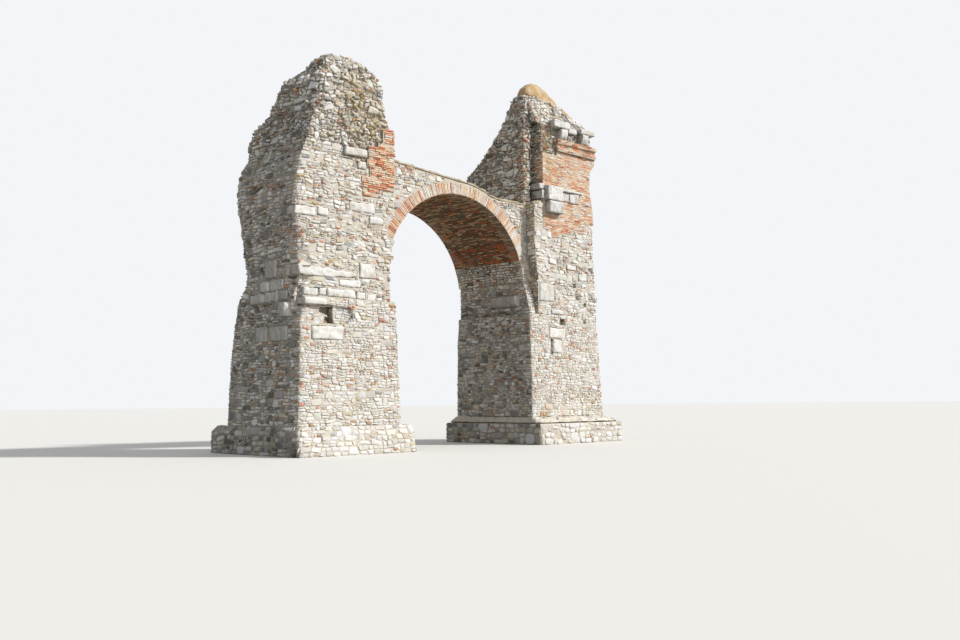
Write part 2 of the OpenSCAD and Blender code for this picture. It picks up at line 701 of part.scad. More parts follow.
// The room in front of the strip. The strip leans back from the ledge up to the plane of
// the arch's face, and its right edge steps to the left with height
strip_lean_z = ledge_z + 0.28 * right_upper_h;
strip_foot_y = front_y + 0.3 * arch_set;
strip_step_shares = [[0.28, 0.5, 0.8], [0.495, 1.1, 0.5]];

module strip_recess() {
    translate([right_x0 - overrun, 0, 0])
        rotate([90, 0, 90])
            linear_extrude(strip_x - right_x0 + overrun)
                polygon([[front_y - overrun, ledge_z - overrun], [strip_foot_y, ledge_z - overrun],
                    [strip_foot_y, ledge_z], [arch_y0, strip_lean_z], [arch_y0, right_top_z],
                    [front_y - overrun, right_top_z]]);
}

// What is left of the shaft's front beside the strip where its edge steps to the left
module strip_edge() {
    for (s = strip_step_shares)
        span([right_x0 + s[2] * (strip_x - right_x0), front_y - 2 * overrun,
                ledge_z + s[0] * right_upper_h],
            [strip_x + overrun, arch_y0 + overrun, ledge_z + s[1] * right_upper_h]);
}

module right_plinth() {
    color(rubble_warm)
        weathered(right_plinth_shares, right_x0, 0, right_plinth_h, plinth_wear);
}

module right_weathering() {
    color(mortar_tan)
        weathered(weathering_shares, right_x0, right_plinth_h, right_base_z, plinth_wear);
}

module right_lower_shaft() {
    color(rubble_warm)
        difference() {
            weathered(right_lower_shares, right_x0, right_base_z, ledge_z, shaft_wear);
            front_boxes(true);
            sockets(lower_socket_shares, right_base_z, right_lower_h);
            right_box(slot_shares, right_base_z, right_lower_h, 0, true);
        }
}

module right_upper_shaft() {
    color(rubble_warm)
        difference() {
            weathered(right_upper_shares, right_x0, ledge_z, right_shaft_z, shaft_wear);
            arch_room();
            difference() {
                strip_recess();
                strip_edge();
            }
            impost_shape();
            facing_shape(overrun);
            front_boxes(true);
            sockets(upper_socket_shares, ledge_z, right_upper_h);
            console_blocks(true);
        }
}

module right_core() {
    color(rubble_grey)
        difference() {
            weathered(right_core_shares, right_x0, right_shaft_z, right_core_z, core_wear);
            arch_room();
            strip_recess();
            span([strip_x, front_y - overrun, console_z + 0.07 * console_h],
                [groove_x, groove_y, console_z + 0.735 * right_core_h]);
            facing_shape(overrun);
            console_blocks(true);
            console_slabs(true);
            course_pocket();
            bracket_pockets();
            cornice_slabs(true);
        }
}

module right_brick_facing() {
    color(brick_red)
        difference() {
            facing_shape(0);
            console_blocks(true);
            console_slabs(true);
        }
}

module right_mortar_cap() {
    color(mortar_tan)
        weathered(cap_shares, right_x0, right_core_z, right_top_z, plinth_wear);
}

module right_impost_block() {
    color(ashlar)
        impost_shape();
}

module right_console_blocks() {
    color(ashlar)
        console_blocks(false);
}

module right_console_slabs() {
    color(ashlar)
        console_slabs(false);
}

module right_brick_course() {
    color(brick_red)
        translate([course_x0, front_y, course_z0])
            rotate([90, 0, 90])
                linear_extrude(course_x1 - course_x0)
                    polygon(concat([[facing_t, 0]],
                        [for (p = course_profile_shares) [-p[0] * course_out, p[1] * course_h]],
                        [[facing_t, course_h]]));
}

module right_cornice_brackets() {
    color(ashlar)
        for (share = bracket_shares)
            bracket(right_x0 + share * pier_w);
}

module right_cornice_slabs() {
    color(ashlar)
        cornice_slabs(false);
}

module right_front_blocks() {
    color(ashlar)
        front_boxes(false);
}

// Arch and wall between the piers

left_stations = [for (s = [0:4]) left_x1 + (arch_x - left_x1) * s / 4];
right_stations = [for (s = [0:8]) arch_x + (right_x0 - arch_x) * s / 8];
// How far the mortar on the wall hangs over its faces
deck_lip = 0.2 * deck_t;

module front_arch_ring() {
    color(brick_red)
        arch_piece(arch_r, ring_r, ring_right_angle, 180 - ring_left_angle,
            arch_y0, arch_y0 + ring_d);
}

module back_arch_ring() {
    color(brick_red)
        arch_piece(arch_r, ring_r, ring_right_angle, 180 - ring_left_angle,
            arch_y1 - ring_d, arch_y1);
}

// A stretch of the vault that lies between the two rings
module vault_piece(a0, a1) {
    arch_piece(arch_r, ring_r, a0, a1, arch_y0 + ring_d, arch_y1 - ring_d);
}

module vault_left() {
    color(brick_red)
        vault_piece(120, 180 - ring_left_angle);
}

module vault_crown() {
    color(rubble_grey)
        vault_piece(60, 120);
}

module vault_right() {
    color(brick_red)
        vault_piece(ring_right_angle, 60);
}

// Wall over the arch along a row of stations, up to the line of its top
module spandrel(stations, low) {
    last = len(stations) - 1;
    depth = arch_y1 - arch_y0;
    difference() {
        translate([0, arch_y1, 0])
            rotate([90, 0, 0])
                linear_extrude(depth)
                    polygon(concat([[stations[last], low], [stations[0], low]],
                        [for (x = stations) [x, wall_top(x)]]));
        translate([arch_x, arch_y1 + overrun, spring_z])
            rotate([90, 0, 0])
                cylinder(h = depth + 2 * overrun, r = ring_r, $fn = smooth);
    }
}

module left_spandrel() {
    color(rubble_warm)
        spandrel(left_stations, wall_foot(left_x1));
}

module right_spandrel() {
    color(rubble_warm)
        spandrel(right_stations, wall_foot(right_x0));
}

// Section of the mortar on the wall at one station: a low hump with rounded edges
deck_section_shares = [[0, 0], [1, 0], [1, 0.55], [0.93, 0.95], [0.5, 1.2], [0.07, 0.95],
    [0, 0.55]];

module deck_mortar() {
    y0 = arch_y0 - deck_lip;
    depth = arch_y1 + deck_lip - y0;
    stations = concat(left_stations, [for (s = [1:8]) right_stations[s]]);
    color(mortar_tan)
        loft([for (x = stations)
            [for (p = deck_section_shares) [x, y0 + p[0] * depth, wall_top(x) + p[1] * deck_t]]]);
}

left_plinth();
left_lower_shaft();
left_upper_shaft();
left_core();
left_band_blocks();
left_long_block();
left_upright_block();
left_low_block();
left_side_blocks();
left_corner_block();
left_upper_blocks();
left_brick_quoin();
right_plinth();
right_weathering();
right_lower_shaft();
right_upper_shaft();
right_core();
right_brick_facing();
right_mortar_cap();
right_impost_block();
right_console_blocks();
right_console_slabs();
right_cornice_slabs();
right_cornice_brackets();
right_brick_course();
right_front_blocks();
front_arch_ring();
back_arch_ring();
vault_left();
vault_crown();
vault_right();
left_spandrel();
right_spandrel();
deck_mortar();
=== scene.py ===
import math

import bpy
import numpy as np
from bpy.props import FloatProperty, FloatVectorProperty, IntProperty, PointerProperty
from mathutils import Matrix, Vector


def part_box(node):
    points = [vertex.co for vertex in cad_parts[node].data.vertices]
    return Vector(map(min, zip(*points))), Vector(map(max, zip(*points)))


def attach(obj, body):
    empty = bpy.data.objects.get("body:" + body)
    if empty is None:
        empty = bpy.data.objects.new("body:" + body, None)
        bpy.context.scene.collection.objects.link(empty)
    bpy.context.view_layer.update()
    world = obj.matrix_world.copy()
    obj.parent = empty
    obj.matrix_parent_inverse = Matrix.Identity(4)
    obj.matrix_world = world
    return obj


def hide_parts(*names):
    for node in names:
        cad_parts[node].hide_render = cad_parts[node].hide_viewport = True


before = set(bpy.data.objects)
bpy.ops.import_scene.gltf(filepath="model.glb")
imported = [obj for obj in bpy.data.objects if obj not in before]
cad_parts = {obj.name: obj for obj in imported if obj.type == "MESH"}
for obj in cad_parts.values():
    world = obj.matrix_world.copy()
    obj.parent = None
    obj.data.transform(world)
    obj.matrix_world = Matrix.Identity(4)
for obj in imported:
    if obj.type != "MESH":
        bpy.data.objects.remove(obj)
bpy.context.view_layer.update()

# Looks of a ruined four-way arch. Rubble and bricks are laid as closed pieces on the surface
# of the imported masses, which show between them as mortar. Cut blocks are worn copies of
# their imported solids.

bl_info = {
    "name": "Ruined arch masonry",
    "version": (1, 0, 0),
    "blender": (4, 5, 0),
    "location": "View3D > Sidebar > Masonry",
    "description": "Lays the rubble, bricks, cut stones and mortar of a ruined arch",
    "category": "Add Mesh",
}

# Places in metres, and angles in degrees from the right springing


def corners_of(name):
    """Lowest and highest corner of a node as arrays."""
    return [np.array(corner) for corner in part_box(name)]


RING_LOW, RING_HIGH = corners_of("front_arch_ring")
BACK_RING_Y = corners_of("back_arch_ring")[1][1]
RING_THICKNESS = 0.42
RING_START, RING_END = 8, 156
VAULT_BRICK_START, RING_BRICK_START = 22, 25
RING_CENTRE_X = -0.136
RING_OUTER = (RING_HIGH[0] - RING_CENTRE_X) / math.cos(math.radians(RING_START))
RING_INNER = RING_OUTER - RING_THICKNESS
RING_CENTRE_Z = RING_HIGH[2] - RING_OUTER
LEDGE_Z = corners_of("left_upper_shaft")[0][2]
LEFT_CORE, RIGHT_CORE = corners_of("left_core"), corners_of("right_core")
BARE_ABOVE = 0.45
LEFT_BARE_Z = LEFT_CORE[0][2] + BARE_ABOVE
RIGHT_BARE_Z = RIGHT_CORE[0][2]
IMPOST_Z = corners_of("right_impost_block")[1][2]
PLINTH_HEIGHT = corners_of("left_plinth")[1][2]
PLINTH_TAPER = 0.25
PLINTH_FORWARD, PLINTH_FRONT_FROM = 0.53, -1.8
PLINTH_INWARD, PLINTH_SIDE_FROM = 0.30, -7.5
CAP_SKIRT = ((4.2, -1.75), (6.35, -0.6))
CAP_SKIRT_THICKNESS = 0.13

# Upright axes that each skin of stones is measured from, as x and y
LEFT_PLINTH_AXIS, LEFT_PIER_AXIS = (-5.3, 0.0), (-4.95, -1.0)
RIGHT_PLINTH_AXIS, RIGHT_SHAFT_AXIS, RIGHT_CORE_AXIS = (5.4, 0.0), (5.25, 0.0), (4.7, -1.15)

LEFT_BLOCKS = ["left_band_blocks", "left_long_block", "left_upright_block", "left_low_block",
               "left_side_blocks", "left_corner_block", "left_upper_blocks"]
RIGHT_BLOCKS = ["right_impost_block", "right_front_blocks"]
CORNICE_BLOCKS = ["right_console_blocks", "right_console_slabs", "right_cornice_slabs",
                  "right_cornice_brackets"]
LEFT_MASSES = ["left_lower_shaft", "left_upper_shaft", "left_core"]
RIGHT_MASSES = ["right_lower_shaft", "right_upper_shaft", "right_core"]
BRICK_FACES = ["right_brick_facing", "right_brick_course"]


def linear(code):
    """A web colour such as #c0a080 as linear red, green, blue and alpha."""
    shares = [int(code[i:i + 2], 16) / 255 for i in (1, 3, 5)]
    return (*[c / 12.92 if c < 0.04045 else ((c + 0.055) / 1.055) ** 2.4 for c in shares], 1.0)


# Sizes and colours that a user would change


def length_property(name, description, default, low, high):
    """A length in metres that a user can change."""
    return FloatProperty(name=name, description=description, default=default, min=low, max=high,
                         unit="LENGTH")


class RubbleSizes(bpy.types.PropertyGroup):
    """Sizes of the rubble."""

    seed: IntProperty(name="Seed", description="Start of the random numbers", default=7)
    cell: length_property("Cell", "Usual width of a group of stones", 0.36, 0.1, 1.5)
    band: length_property("Band", "Usual height between two bed lines", 0.235, 0.1, 0.8)
    joint: length_property("Joint", "Mortar between two stones", 0.011, 0.0, 0.06)
    proud: length_property("Proud", "How far a facing stone stands out", 0.030, 0.0, 0.1)
    core_proud: length_property("Proud in the core", "How far a core stone stands out",
                                0.10, 0.0, 0.2)


class BrickSizes(bpy.types.PropertyGroup):
    """Sizes of the bricks."""

    length: length_property("Brick length", "Length of a whole brick", 0.29, 0.1, 0.6)
    height: length_property("Brick height", "Thickness of a brick", 0.048, 0.02, 0.1)
    joint: length_property("Bed joint", "Mortar between two courses", 0.022, 0.0, 0.06)


def colour_property(name, description, code):
    """A colour that a user can change, from its web colour."""
    return FloatVectorProperty(name=name, description=description, subtype="COLOR", size=4,
                               default=linear(code))


class StoneColours(bpy.types.PropertyGroup):
    """Colours of the masonry."""

    white: colour_property("White", "Cleanest limestone", "#f8f5ef")
    cream: colour_property("Cream", "Pale warm limestone", "#f0eade")
    tan: colour_property("Tan", "Sandy limestone", "#dfd1ba")
    ochre: colour_property("Ochre", "Iron-stained stone", "#cfaa7c")
    grey: colour_property("Grey", "Weathered limestone", "#bdbcb8")
    slate: colour_property("Slate", "Dark grey stone", "#989690")
    brown: colour_property("Brown", "Darkest rubble", "#8a7c6b")
    brick: colour_property("Brick", "Orange brick", "#db8c62")
    red: colour_property("Red brick", "Red brick", "#b0644a")
    salmon: colour_property("Salmon brick", "Pale brick", "#ecc0a2")
    mortar: colour_property("Mortar", "Pale mortar", "#e8decd")
    lichen: colour_property("Lichen", "Yellow lichen", "#cdb871")


class StageSizes(bpy.types.PropertyGroup):
    """Light of the stage."""

    key: FloatProperty(name="Key light", description="Strength of the soft key light",
                       default=3.3, min=0.0)
    fill: FloatProperty(name="Fill light", description="Strength of the light from all round",
                        default=0.50, min=0.0)


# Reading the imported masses


def drawn(name, points):
    """The points of a node. The left plinth's front is drawn out as far as its back, and its
    left side is drawn in. Both shifts are a little less at its top."""
    if name == "left_plinth":
        share = 1 - PLINTH_TAPER * points[:, 2] / PLINTH_HEIGHT
        front, side = points[:, 1] < PLINTH_FRONT_FROM, points[:, 0] < PLINTH_SIDE_FROM
        points[:, 1] -= PLINTH_FORWARD * share * front
        points[:, 0] += PLINTH_INWARD * share * side
    return points


def read_mesh(mesh):
    """Points and triangles of a mesh as arrays."""
    mesh.calc_loop_triangles()
    points = np.empty(len(mesh.vertices) * 3, np.float32)
    corners = np.empty(len(mesh.loop_triangles) * 3, np.int32)
    mesh.vertices.foreach_get("co", points)
    mesh.loop_triangles.foreach_get("vertices", corners)
    return points.reshape(-1, 3), corners.reshape(-1, 3)


def triangles(names):
    """Corners of the named nodes' triangles as an array (triangle, corner, axis), and the
    number of each triangle's node."""
    found, owner = [], []
    for number, name in enumerate(names):
        points, corners = read_mesh(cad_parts[name].data)
        found.append(drawn(name, points)[corners])
        owner.append(np.full(len(found[-1]), number))
    return np.concatenate(found).astype(float), np.concatenate(owner)


def solids(name):
    """The separate solids of a node, each as points and triangles. Points that lie within a
    tenth of a millimetre are made one. Then every point takes the lowest number among its
    neighbours until nothing changes."""
    corners = triangles([name])[0]
    keys = np.round(corners.reshape(-1, 3) * 1e4).astype(np.int64)
    unique, where = np.unique(keys, axis=0, return_inverse=True)
    faces = where.reshape(-1, 3)
    faces = faces[(faces != np.roll(faces, 1, 1)).all(1)]
    label = np.arange(len(unique))
    while True:
        new = label.copy()
        for corner in range(3):
            np.minimum.at(new, faces[:, corner], label[faces].min(1))
        if (new == label).all():
            break
        label = new
    return [(unique / 1e4, faces[label[faces[:, 0]] == mark]) for mark in np.unique(label[faces])]


def covered(names, places, axis, sign):
    """True for each place that lies behind a triangle of the nodes that faces that way along
    an axis: the cross products with the triangle's three sides all have one sign."""
    others = [k for k in range(3) if k != axis]
    tri = triangles(names)[0]
    normal = np.cross(tri[:, 1] - tri[:, 0], tri[:, 2] - tri[:, 0])
    tri = tri[normal[:, axis] * sign > 0.9 * np.linalg.norm(normal, axis=1)][:, :, others]
    spot = places[:, None, others]
    turns = []
    for k in range(3):
        side = tri[None, :, (k + 1) % 3] - tri[None, :, k]
        reach = spot - tri[None, :, k]
        turns.append(side[..., 0] * reach[..., 1] - side[..., 1] * reach[..., 0])
    turns = np.stack(turns)
    return ((turns >= 0).all(0) | (turns <= 0).all(0)).any(1)


# Surfaces that stones are laid on

WAVE_RADIUS = 3.0
FLAT_NORMAL_Z = 0.62
FACING_STEP = 0.04
SHARP_TURN = math.radians(25)
TINY, THINNEST = 1e-9, 1e-12


def blended(field, i, j, k, s, t):
    """A field between rows i and i + 1 and columns j and k, at shares s and t."""
    return ((1 - s) * ((1 - t) * field[i, j] + t * field[i, k])
            + s * ((1 - t) * field[i + 1, j] + t * field[i + 1, k]))


class Surface:
    """A surface that stones are laid on. Length runs along it and height up it, and out of
    it is the side where along crossed with up points."""

    closed = False

    def __init__(self, span):
        self.span = span

    def level(self, height):
        """Number of the row of cells at a height."""
        return 0

    def extent(self, level):
        """Length of the surface at a level."""
        return self.span

    def turn(self, level, length):
        """Angle by which the bed lines wave."""
        return length / WAVE_RADIUS

    def corners(self, level):
        """Lengths at which the surface has a sharp corner."""
        return []

    def holds(self, level, length, height, owners):
        """True where the surface belongs to one of the owners."""
        return np.ones(len(length), bool)

    def facing(self, level, length, height):
        """Direction out of the surface: a small step along it crossed with one up it."""
        zero, step = np.zeros_like(length), np.full_like(length, FACING_STEP)
        along = (self.place(level, length + step, height, zero)
                 - self.place(level, length - step, height, zero))
        up = (self.place(level, length, height + step, zero)
              - self.place(level, length, height - step, zero))
        way = np.cross(along, up)
        return way / (np.linalg.norm(way, axis=-1, keepdims=True) + TINY)


class Wall(Surface):
    """The front or back of the wall over the arch. Length is counted along x, from the left
    on the front, and height is z."""

    def __init__(self, x, span, y, front):
        super().__init__(span)
        self.x, self.y, self.way = x, y, 1 if front else -1

    def place(self, level, length, height, out):
        """Points of the plane, moved outwards."""
        x = self.x + self.way * length
        return np.stack([x, np.full_like(x, self.y) - self.way * out, height], -1)

    def holds(self, level, length, height, owners):
        """True where a triangle of the owners lies behind."""
        return covered(owners, self.place(level, length, height, 0 * length), 1, -self.way)


class Barrel(Surface):
    """The underside of the arch, a cylinder about an axis from front to back. Length is
    counted from the back, and height is the arc from the right springing."""

    def __init__(self, radius, front, back):
        super().__init__(back - front)
        self.radius, self.back = radius, back

    def place(self, level, length, height, out):
        """Points of the cylinder, moved towards its axis."""
        angle, radius = height / self.radius, self.radius - out
        return np.stack([RING_CENTRE_X + radius * np.cos(angle), self.back - length,
                         RING_CENTRE_Z + radius * np.sin(angle)], -1)


class Sector(Surface):
    """The flat face of the brick ring. Length is counted outwards from the inner radius on
    the front and inwards from the outer one on the back, and height is the arc along its
    middle."""

    def __init__(self, y, front):
        super().__init__(RING_THICKNESS)
        self.y, self.way = y, 1 if front else -1
        self.radius = (RING_INNER + RING_OUTER) / 2

    def place(self, level, length, height, out):
        """Points of the ring, moved forwards or back."""
        angle = height / self.radius
        radius = self.radius + self.way * (length - self.span / 2)
        return np.stack([RING_CENTRE_X + radius * np.cos(angle),
                         np.full_like(radius, self.y) - self.way * out,
                         RING_CENTRE_Z + radius * np.sin(angle)], -1)


class Skin(Surface):
    """The outside of some nodes about an upright axis: a radius for each height and angle.

    At each height the nodes' triangles are cut by a level plane. A ray from the axis at
    each angle crosses the segments of that cut, and its farthest crossing is the radius."""

    closed = True

    def __init__(self, names, axis, low, high, step=0.04, rays=1080):
        self.names, self.axis, self.step, self.rays = names, np.array(axis), step, rays
        corners, owner = triangles(names)
        self.heights = np.arange(low + step / 2, high - step / 4, step) + 1e-5
        self.angles = np.linspace(-np.pi, np.pi, rays, endpoint=False) + 1e-4
        ways = np.stack([np.cos(self.angles), np.sin(self.angles)], 1)
        cuts = [self.cut(corners, owner, z, ways) for z in self.heights]
        self.radius = np.array([radius for radius, _ in cuts])
        self.owner = np.array([number for _, number in cuts])
        ground = self.axis + self.radius[..., None] * ways
        spot = np.concatenate(
            [ground, np.broadcast_to(self.heights[:, None, None], (*self.radius.shape, 1))], 2)
        along = np.roll(spot, -1, 1) - np.roll(spot, 1, 1)
        normal = np.cross(along, np.gradient(spot, axis=0))
        normal /= np.linalg.norm(normal, axis=2, keepdims=True) + TINY
        self.normal = soften(normal, 5, 2)
        self.normal /= np.linalg.norm(self.normal, axis=2, keepdims=True) + TINY
        reach = np.linalg.norm(np.roll(ground, -1, 1) - ground, axis=2)
        self.length = np.cumsum(reach, 1) - reach
        self.girth = reach.sum(1)
        side = np.roll(ground, -1, 1) - ground
        self.way = np.arctan2(side[..., 1], side[..., 0])

    def cut(self, corners, owner, z, ways):
        """Radius at every angle at one height, and the number of the node it lies on."""
        above = corners[:, :, 2] > z
        crossing = above.any(1) & ~above.all(1)
        mixed, above, owner = corners[crossing], above[crossing], owner[crossing]
        ends = []
        for k in range(3):
            a, b = mixed[:, k], mixed[:, (k + 1) % 3]
            rise = b[:, 2] - a[:, 2]
            rise = np.where(np.abs(rise) < THINNEST, THINNEST, rise)
            ends.append(a[:, :2] + ((z - a[:, 2]) / rise)[:, None] * (b[:, :2] - a[:, :2]))
        crossed = np.stack([above[:, k] != above[:, (k + 1) % 3] for k in range(3)], 1)
        order = np.argsort(~crossed, axis=1, kind="stable")[:, :2]
        pair = np.take_along_axis(np.stack(ends, 1), order[:, :, None], 1)
        start = pair[:, 0] - self.axis
        side = pair[:, 1] - pair[:, 0]
        turn = ways[:, 0, None] * side[:, 1] - ways[:, 1, None] * side[:, 0]
        turn = np.where(np.abs(turn) < THINNEST, THINNEST, turn)
        far = (start[:, 0] * side[:, 1] - start[:, 1] * side[:, 0]) / turn
        share = (start[:, 0] * ways[:, 1, None] - start[:, 1] * ways[:, 0, None]) / turn
        far = np.where((share > -1e-6) & (share < 1 + 1e-6) & (far > 0), far, 0)
        return far.max(1), owner[far.argmax(1)]

    def level(self, height):
        """Number of the row of cells nearest to a height."""
        row = round((height - self.heights[0]) / self.step)
        return int(np.clip(row, 0, len(self.heights) - 1))

    def extent(self, level):
        """Girth at a level."""
        return self.girth[level]

    def corners(self, level):
        """Lengths at which the outline turns sharply within a few rays, over two rounds."""
        turn = np.roll(self.way[level], -3) - np.roll(self.way[level], 3)
        turn = np.abs((turn + np.pi) % (2 * np.pi) - np.pi)
        bent = np.flatnonzero(turn > SHARP_TURN)
        if not len(bent):
            return []
        groups = np.split(bent, np.flatnonzero(np.diff(bent) > 1) + 1)
        ray = np.array([group.mean() for group in groups]) + 0.5
        length = np.interp(ray, np.arange(self.rays), self.length[level])
        return [*length, *(length + self.girth[level])]

    def turn(self, level, length):
        """Angle at a length round one level: the inverse of the summed steps of the rays."""
        around = 2 * np.pi
        knots = [self.length[level] + k * self.girth[level] for k in (-1, 0, 1, 2)]
        values = [self.angles + k * around for k in (-1, 0, 1, 2)]
        return np.interp(length, np.concatenate(knots), np.concatenate(values))

    def angle(self, level, length):
        """Angles at lengths round several levels."""
        level = np.broadcast_to(level.reshape(len(level), *[1] * (length.ndim - 1)), length.shape)
        angle = np.empty_like(length)
        for mark in np.unique(level):
            rows = level == mark
            angle[rows] = self.turn(mark, length[rows])
        return angle

    def cell(self, height, angle):
        """Row and column of a place, with fractions."""
        row = np.clip((height - self.heights[0]) / self.step, 0, len(self.heights) - 1.001)
        return row, (angle - self.angles[0]) / (2 * np.pi) * self.rays

    def sample(self, field, height, angle):
        """Value of a field of cells, blended between the four nearest ones."""
        row, column = self.cell(height, angle)
        i, j = np.floor(row).astype(int), np.floor(column).astype(int)
        s, t = row - i, column - j
        if field.ndim == 3:
            s, t = s[..., None], t[..., None]
        j, k = j % self.rays, (j + 1) % self.rays
        return blended(field, i, j, k, s, t)

    def place(self, level, length, height, out):
        """Points at lengths round the levels and at heights, moved outwards along the
        smoothed normal."""
        angle = self.angle(level, length)
        radius = self.sample(self.radius, height, angle)
        normal = self.sample(self.normal, height, angle)
        spot = np.stack([self.axis[0] + radius * np.cos(angle),
                         self.axis[1] + radius * np.sin(angle), height], -1)
        return spot + normal * out[..., None]

    def facing(self, level, length, height):
        """The smoothed normal."""
        return self.sample(self.normal, height, self.angle(level, length))

    def holds(self, level, length, height, owners):
        """True on the owners, where the surface isn't so flat that the roof takes it."""
        angle = self.angle(level, length)
        row, column = (np.round(v).astype(int) for v in self.cell(height, angle))
        column %= self.rays
        owned = np.isin(self.owner[row, column], [self.names.index(name) for name in owners])
        return owned & (self.normal[row, column, 2] < FLAT_NORMAL_Z)


def soften(field, across, up):
    """Sum of a field over its neighbours round each level and above and below."""
    round_sum = sum(np.roll(field, k, 1) for k in range(-across, across + 1))
    padded = np.pad(round_sum, ((up, up), (0, 0), (0, 0)), mode="edge")
    return sum(padded[k:k + len(field)] for k in range(2 * up + 1))


class Roof(Surface):
    """The top of some nodes: a height for each place seen from above, the highest of the
    triangles over it. Length is counted along x and height along y."""

    def __init__(self, names, low, high, step=0.05):
        super().__init__(high[0] - low[0])
        self.names, self.low, self.step = names, np.array(low, float), step
        counts = [int((high[k] - low[k]) / step) + 1 for k in (0, 1)]
        x, y = (low[k] + step * np.arange(counts[k]) + 1e-4 for k in (0, 1))
        tri, owner = triangles(names)
        a, b, c = tri[:, 0], tri[:, 1] - tri[:, 0], tri[:, 2] - tri[:, 0]
        area = b[:, 0] * c[:, 1] - b[:, 1] * c[:, 0]
        above = area > 1e-7
        a, b, c, area, owner = a[above], b[above], c[above], area[above], owner[above]
        top, number = [], []
        for line in y:
            reach = np.stack([x, np.full_like(x, line)], 1)[:, None] - a[None, :, :2]
            s = (reach[..., 0] * c[:, 1] - reach[..., 1] * c[:, 0]) / area
            t = (b[:, 0] * reach[..., 1] - b[:, 1] * reach[..., 0]) / area
            height = np.where((s >= 0) & (t >= 0) & (s + t <= 1),
                              a[:, 2] + s * b[:, 2] + t * c[:, 2], -1.0)
            top.append(height.max(1))
            number.append(owner[height.argmax(1)])
        self.top, self.owner = np.array(top), np.array(number)
        self.owner[self.top < 0] = -1
        slope_y, slope_x = np.gradient(self.top, step)
        normal = np.stack([-slope_x, -slope_y, np.ones_like(slope_x)], -1)
        self.normal = normal / np.linalg.norm(normal, axis=2, keepdims=True)

    def cell(self, length, height):
        """Row and column of a place, with fractions."""
        return [np.clip(v / self.step, 0, n - 1.001)
                for v, n in zip((height, length), self.top.shape)]

    def place(self, level, length, height, out):
        """Points over the grid, moved up."""
        row, column = self.cell(length, height)
        i, j = np.floor(row).astype(int), np.floor(column).astype(int)
        top = blended(self.top, i, j, j + 1, row - i, column - j)
        return np.stack([self.low[0] + length, self.low[1] + height, top + out], -1)

    def holds(self, level, length, height, owners):
        """True on the owners where the top is rather flat."""
        i, j = (np.round(v).astype(int) for v in self.cell(length, height))
        owned = np.isin(self.owner[i, j], [self.names.index(name) for name in owners])
        return owned & (self.normal[i, j, 2] >= FLAT_NORMAL_Z)


# Bonds: where the stones and bricks lie


class Stones:
    """Stones of a bond: the surface's level, and along and up of their four corners, from
    the lower left one round to the upper left one."""

    def __init__(self, level, along, up):
        self.level, self.along, self.up = level, along, up

    def pick(self, mask):
        """The stones for which the mask holds."""
        return Stones(self.level[mask], self.along[mask], self.up[mask])

    def at(self, across, height):
        """Along and up at places in the stones, given from -1 to 1 across them and up
        them: the mean of the four corners weighted by nearness."""
        p, q = (1 + across) / 2, (1 + height) / 2
        weights = ((1 - p) * (1 - q), p * (1 - q), p * q, (1 - p) * q)
        return [sum(w * corner[:, k, None] for k, w in enumerate(weights))
                for corner in (self.along, self.up)]

    def middle(self):
        """Along and up at the middle of each stone."""
        return [v[:, 0] for v in self.at(*np.zeros((2, len(self.level), 1)))]

    def size(self):
        """Mean width and mean height of each stone."""
        return [((v[:, 2] + v[:, i]) - (v[:, 0] + v[:, j])) / 2
                for v, i, j in ((self.along, 1, 3), (self.up, 3, 1))]


def joined(parts):
    """Several sets of stones as one."""
    return Stones(*[np.concatenate([getattr(part, key) for part in parts])
                    for key in ("level", "along", "up")])


def dividers(count, rng, wobble):
    """Dividing shares of some cells, as (cell, line, end). Line k of n lies near k / n, and
    its two ends differ. The first is 0 and the last is 1."""
    lines = np.arange(count.max() + 1)
    shares = lines[None, :, None] + rng.normal(0, wobble, (len(count), len(lines), 2))
    shares[:, 0] = 0
    shares = shares / count[:, None, None]
    shares[lines[None] >= count[:, None]] = 1
    return shares


def split(count):
    """The cell of each part and the part's number in it, for cells with so many parts."""
    cell = np.repeat(np.arange(len(count)), count)
    return cell, np.arange(len(cell)) - np.repeat(np.cumsum(count) - count, count)


RIPPLES = np.array([5, 9, 14, 23, 37])
BAND_RANGE, CELL_RANGE = (0.8, 1.25), (0.4, 2.2)
LEAN_SHARE, LEAN_LIMIT_SHARE = 0.2, 0.3
MOST_STONES = 6
BRICK_VARIATION, SHORT_BRICKS_SHARE, SHORT_LENGTH_SHARE = 0.12, 0.18, 0.6


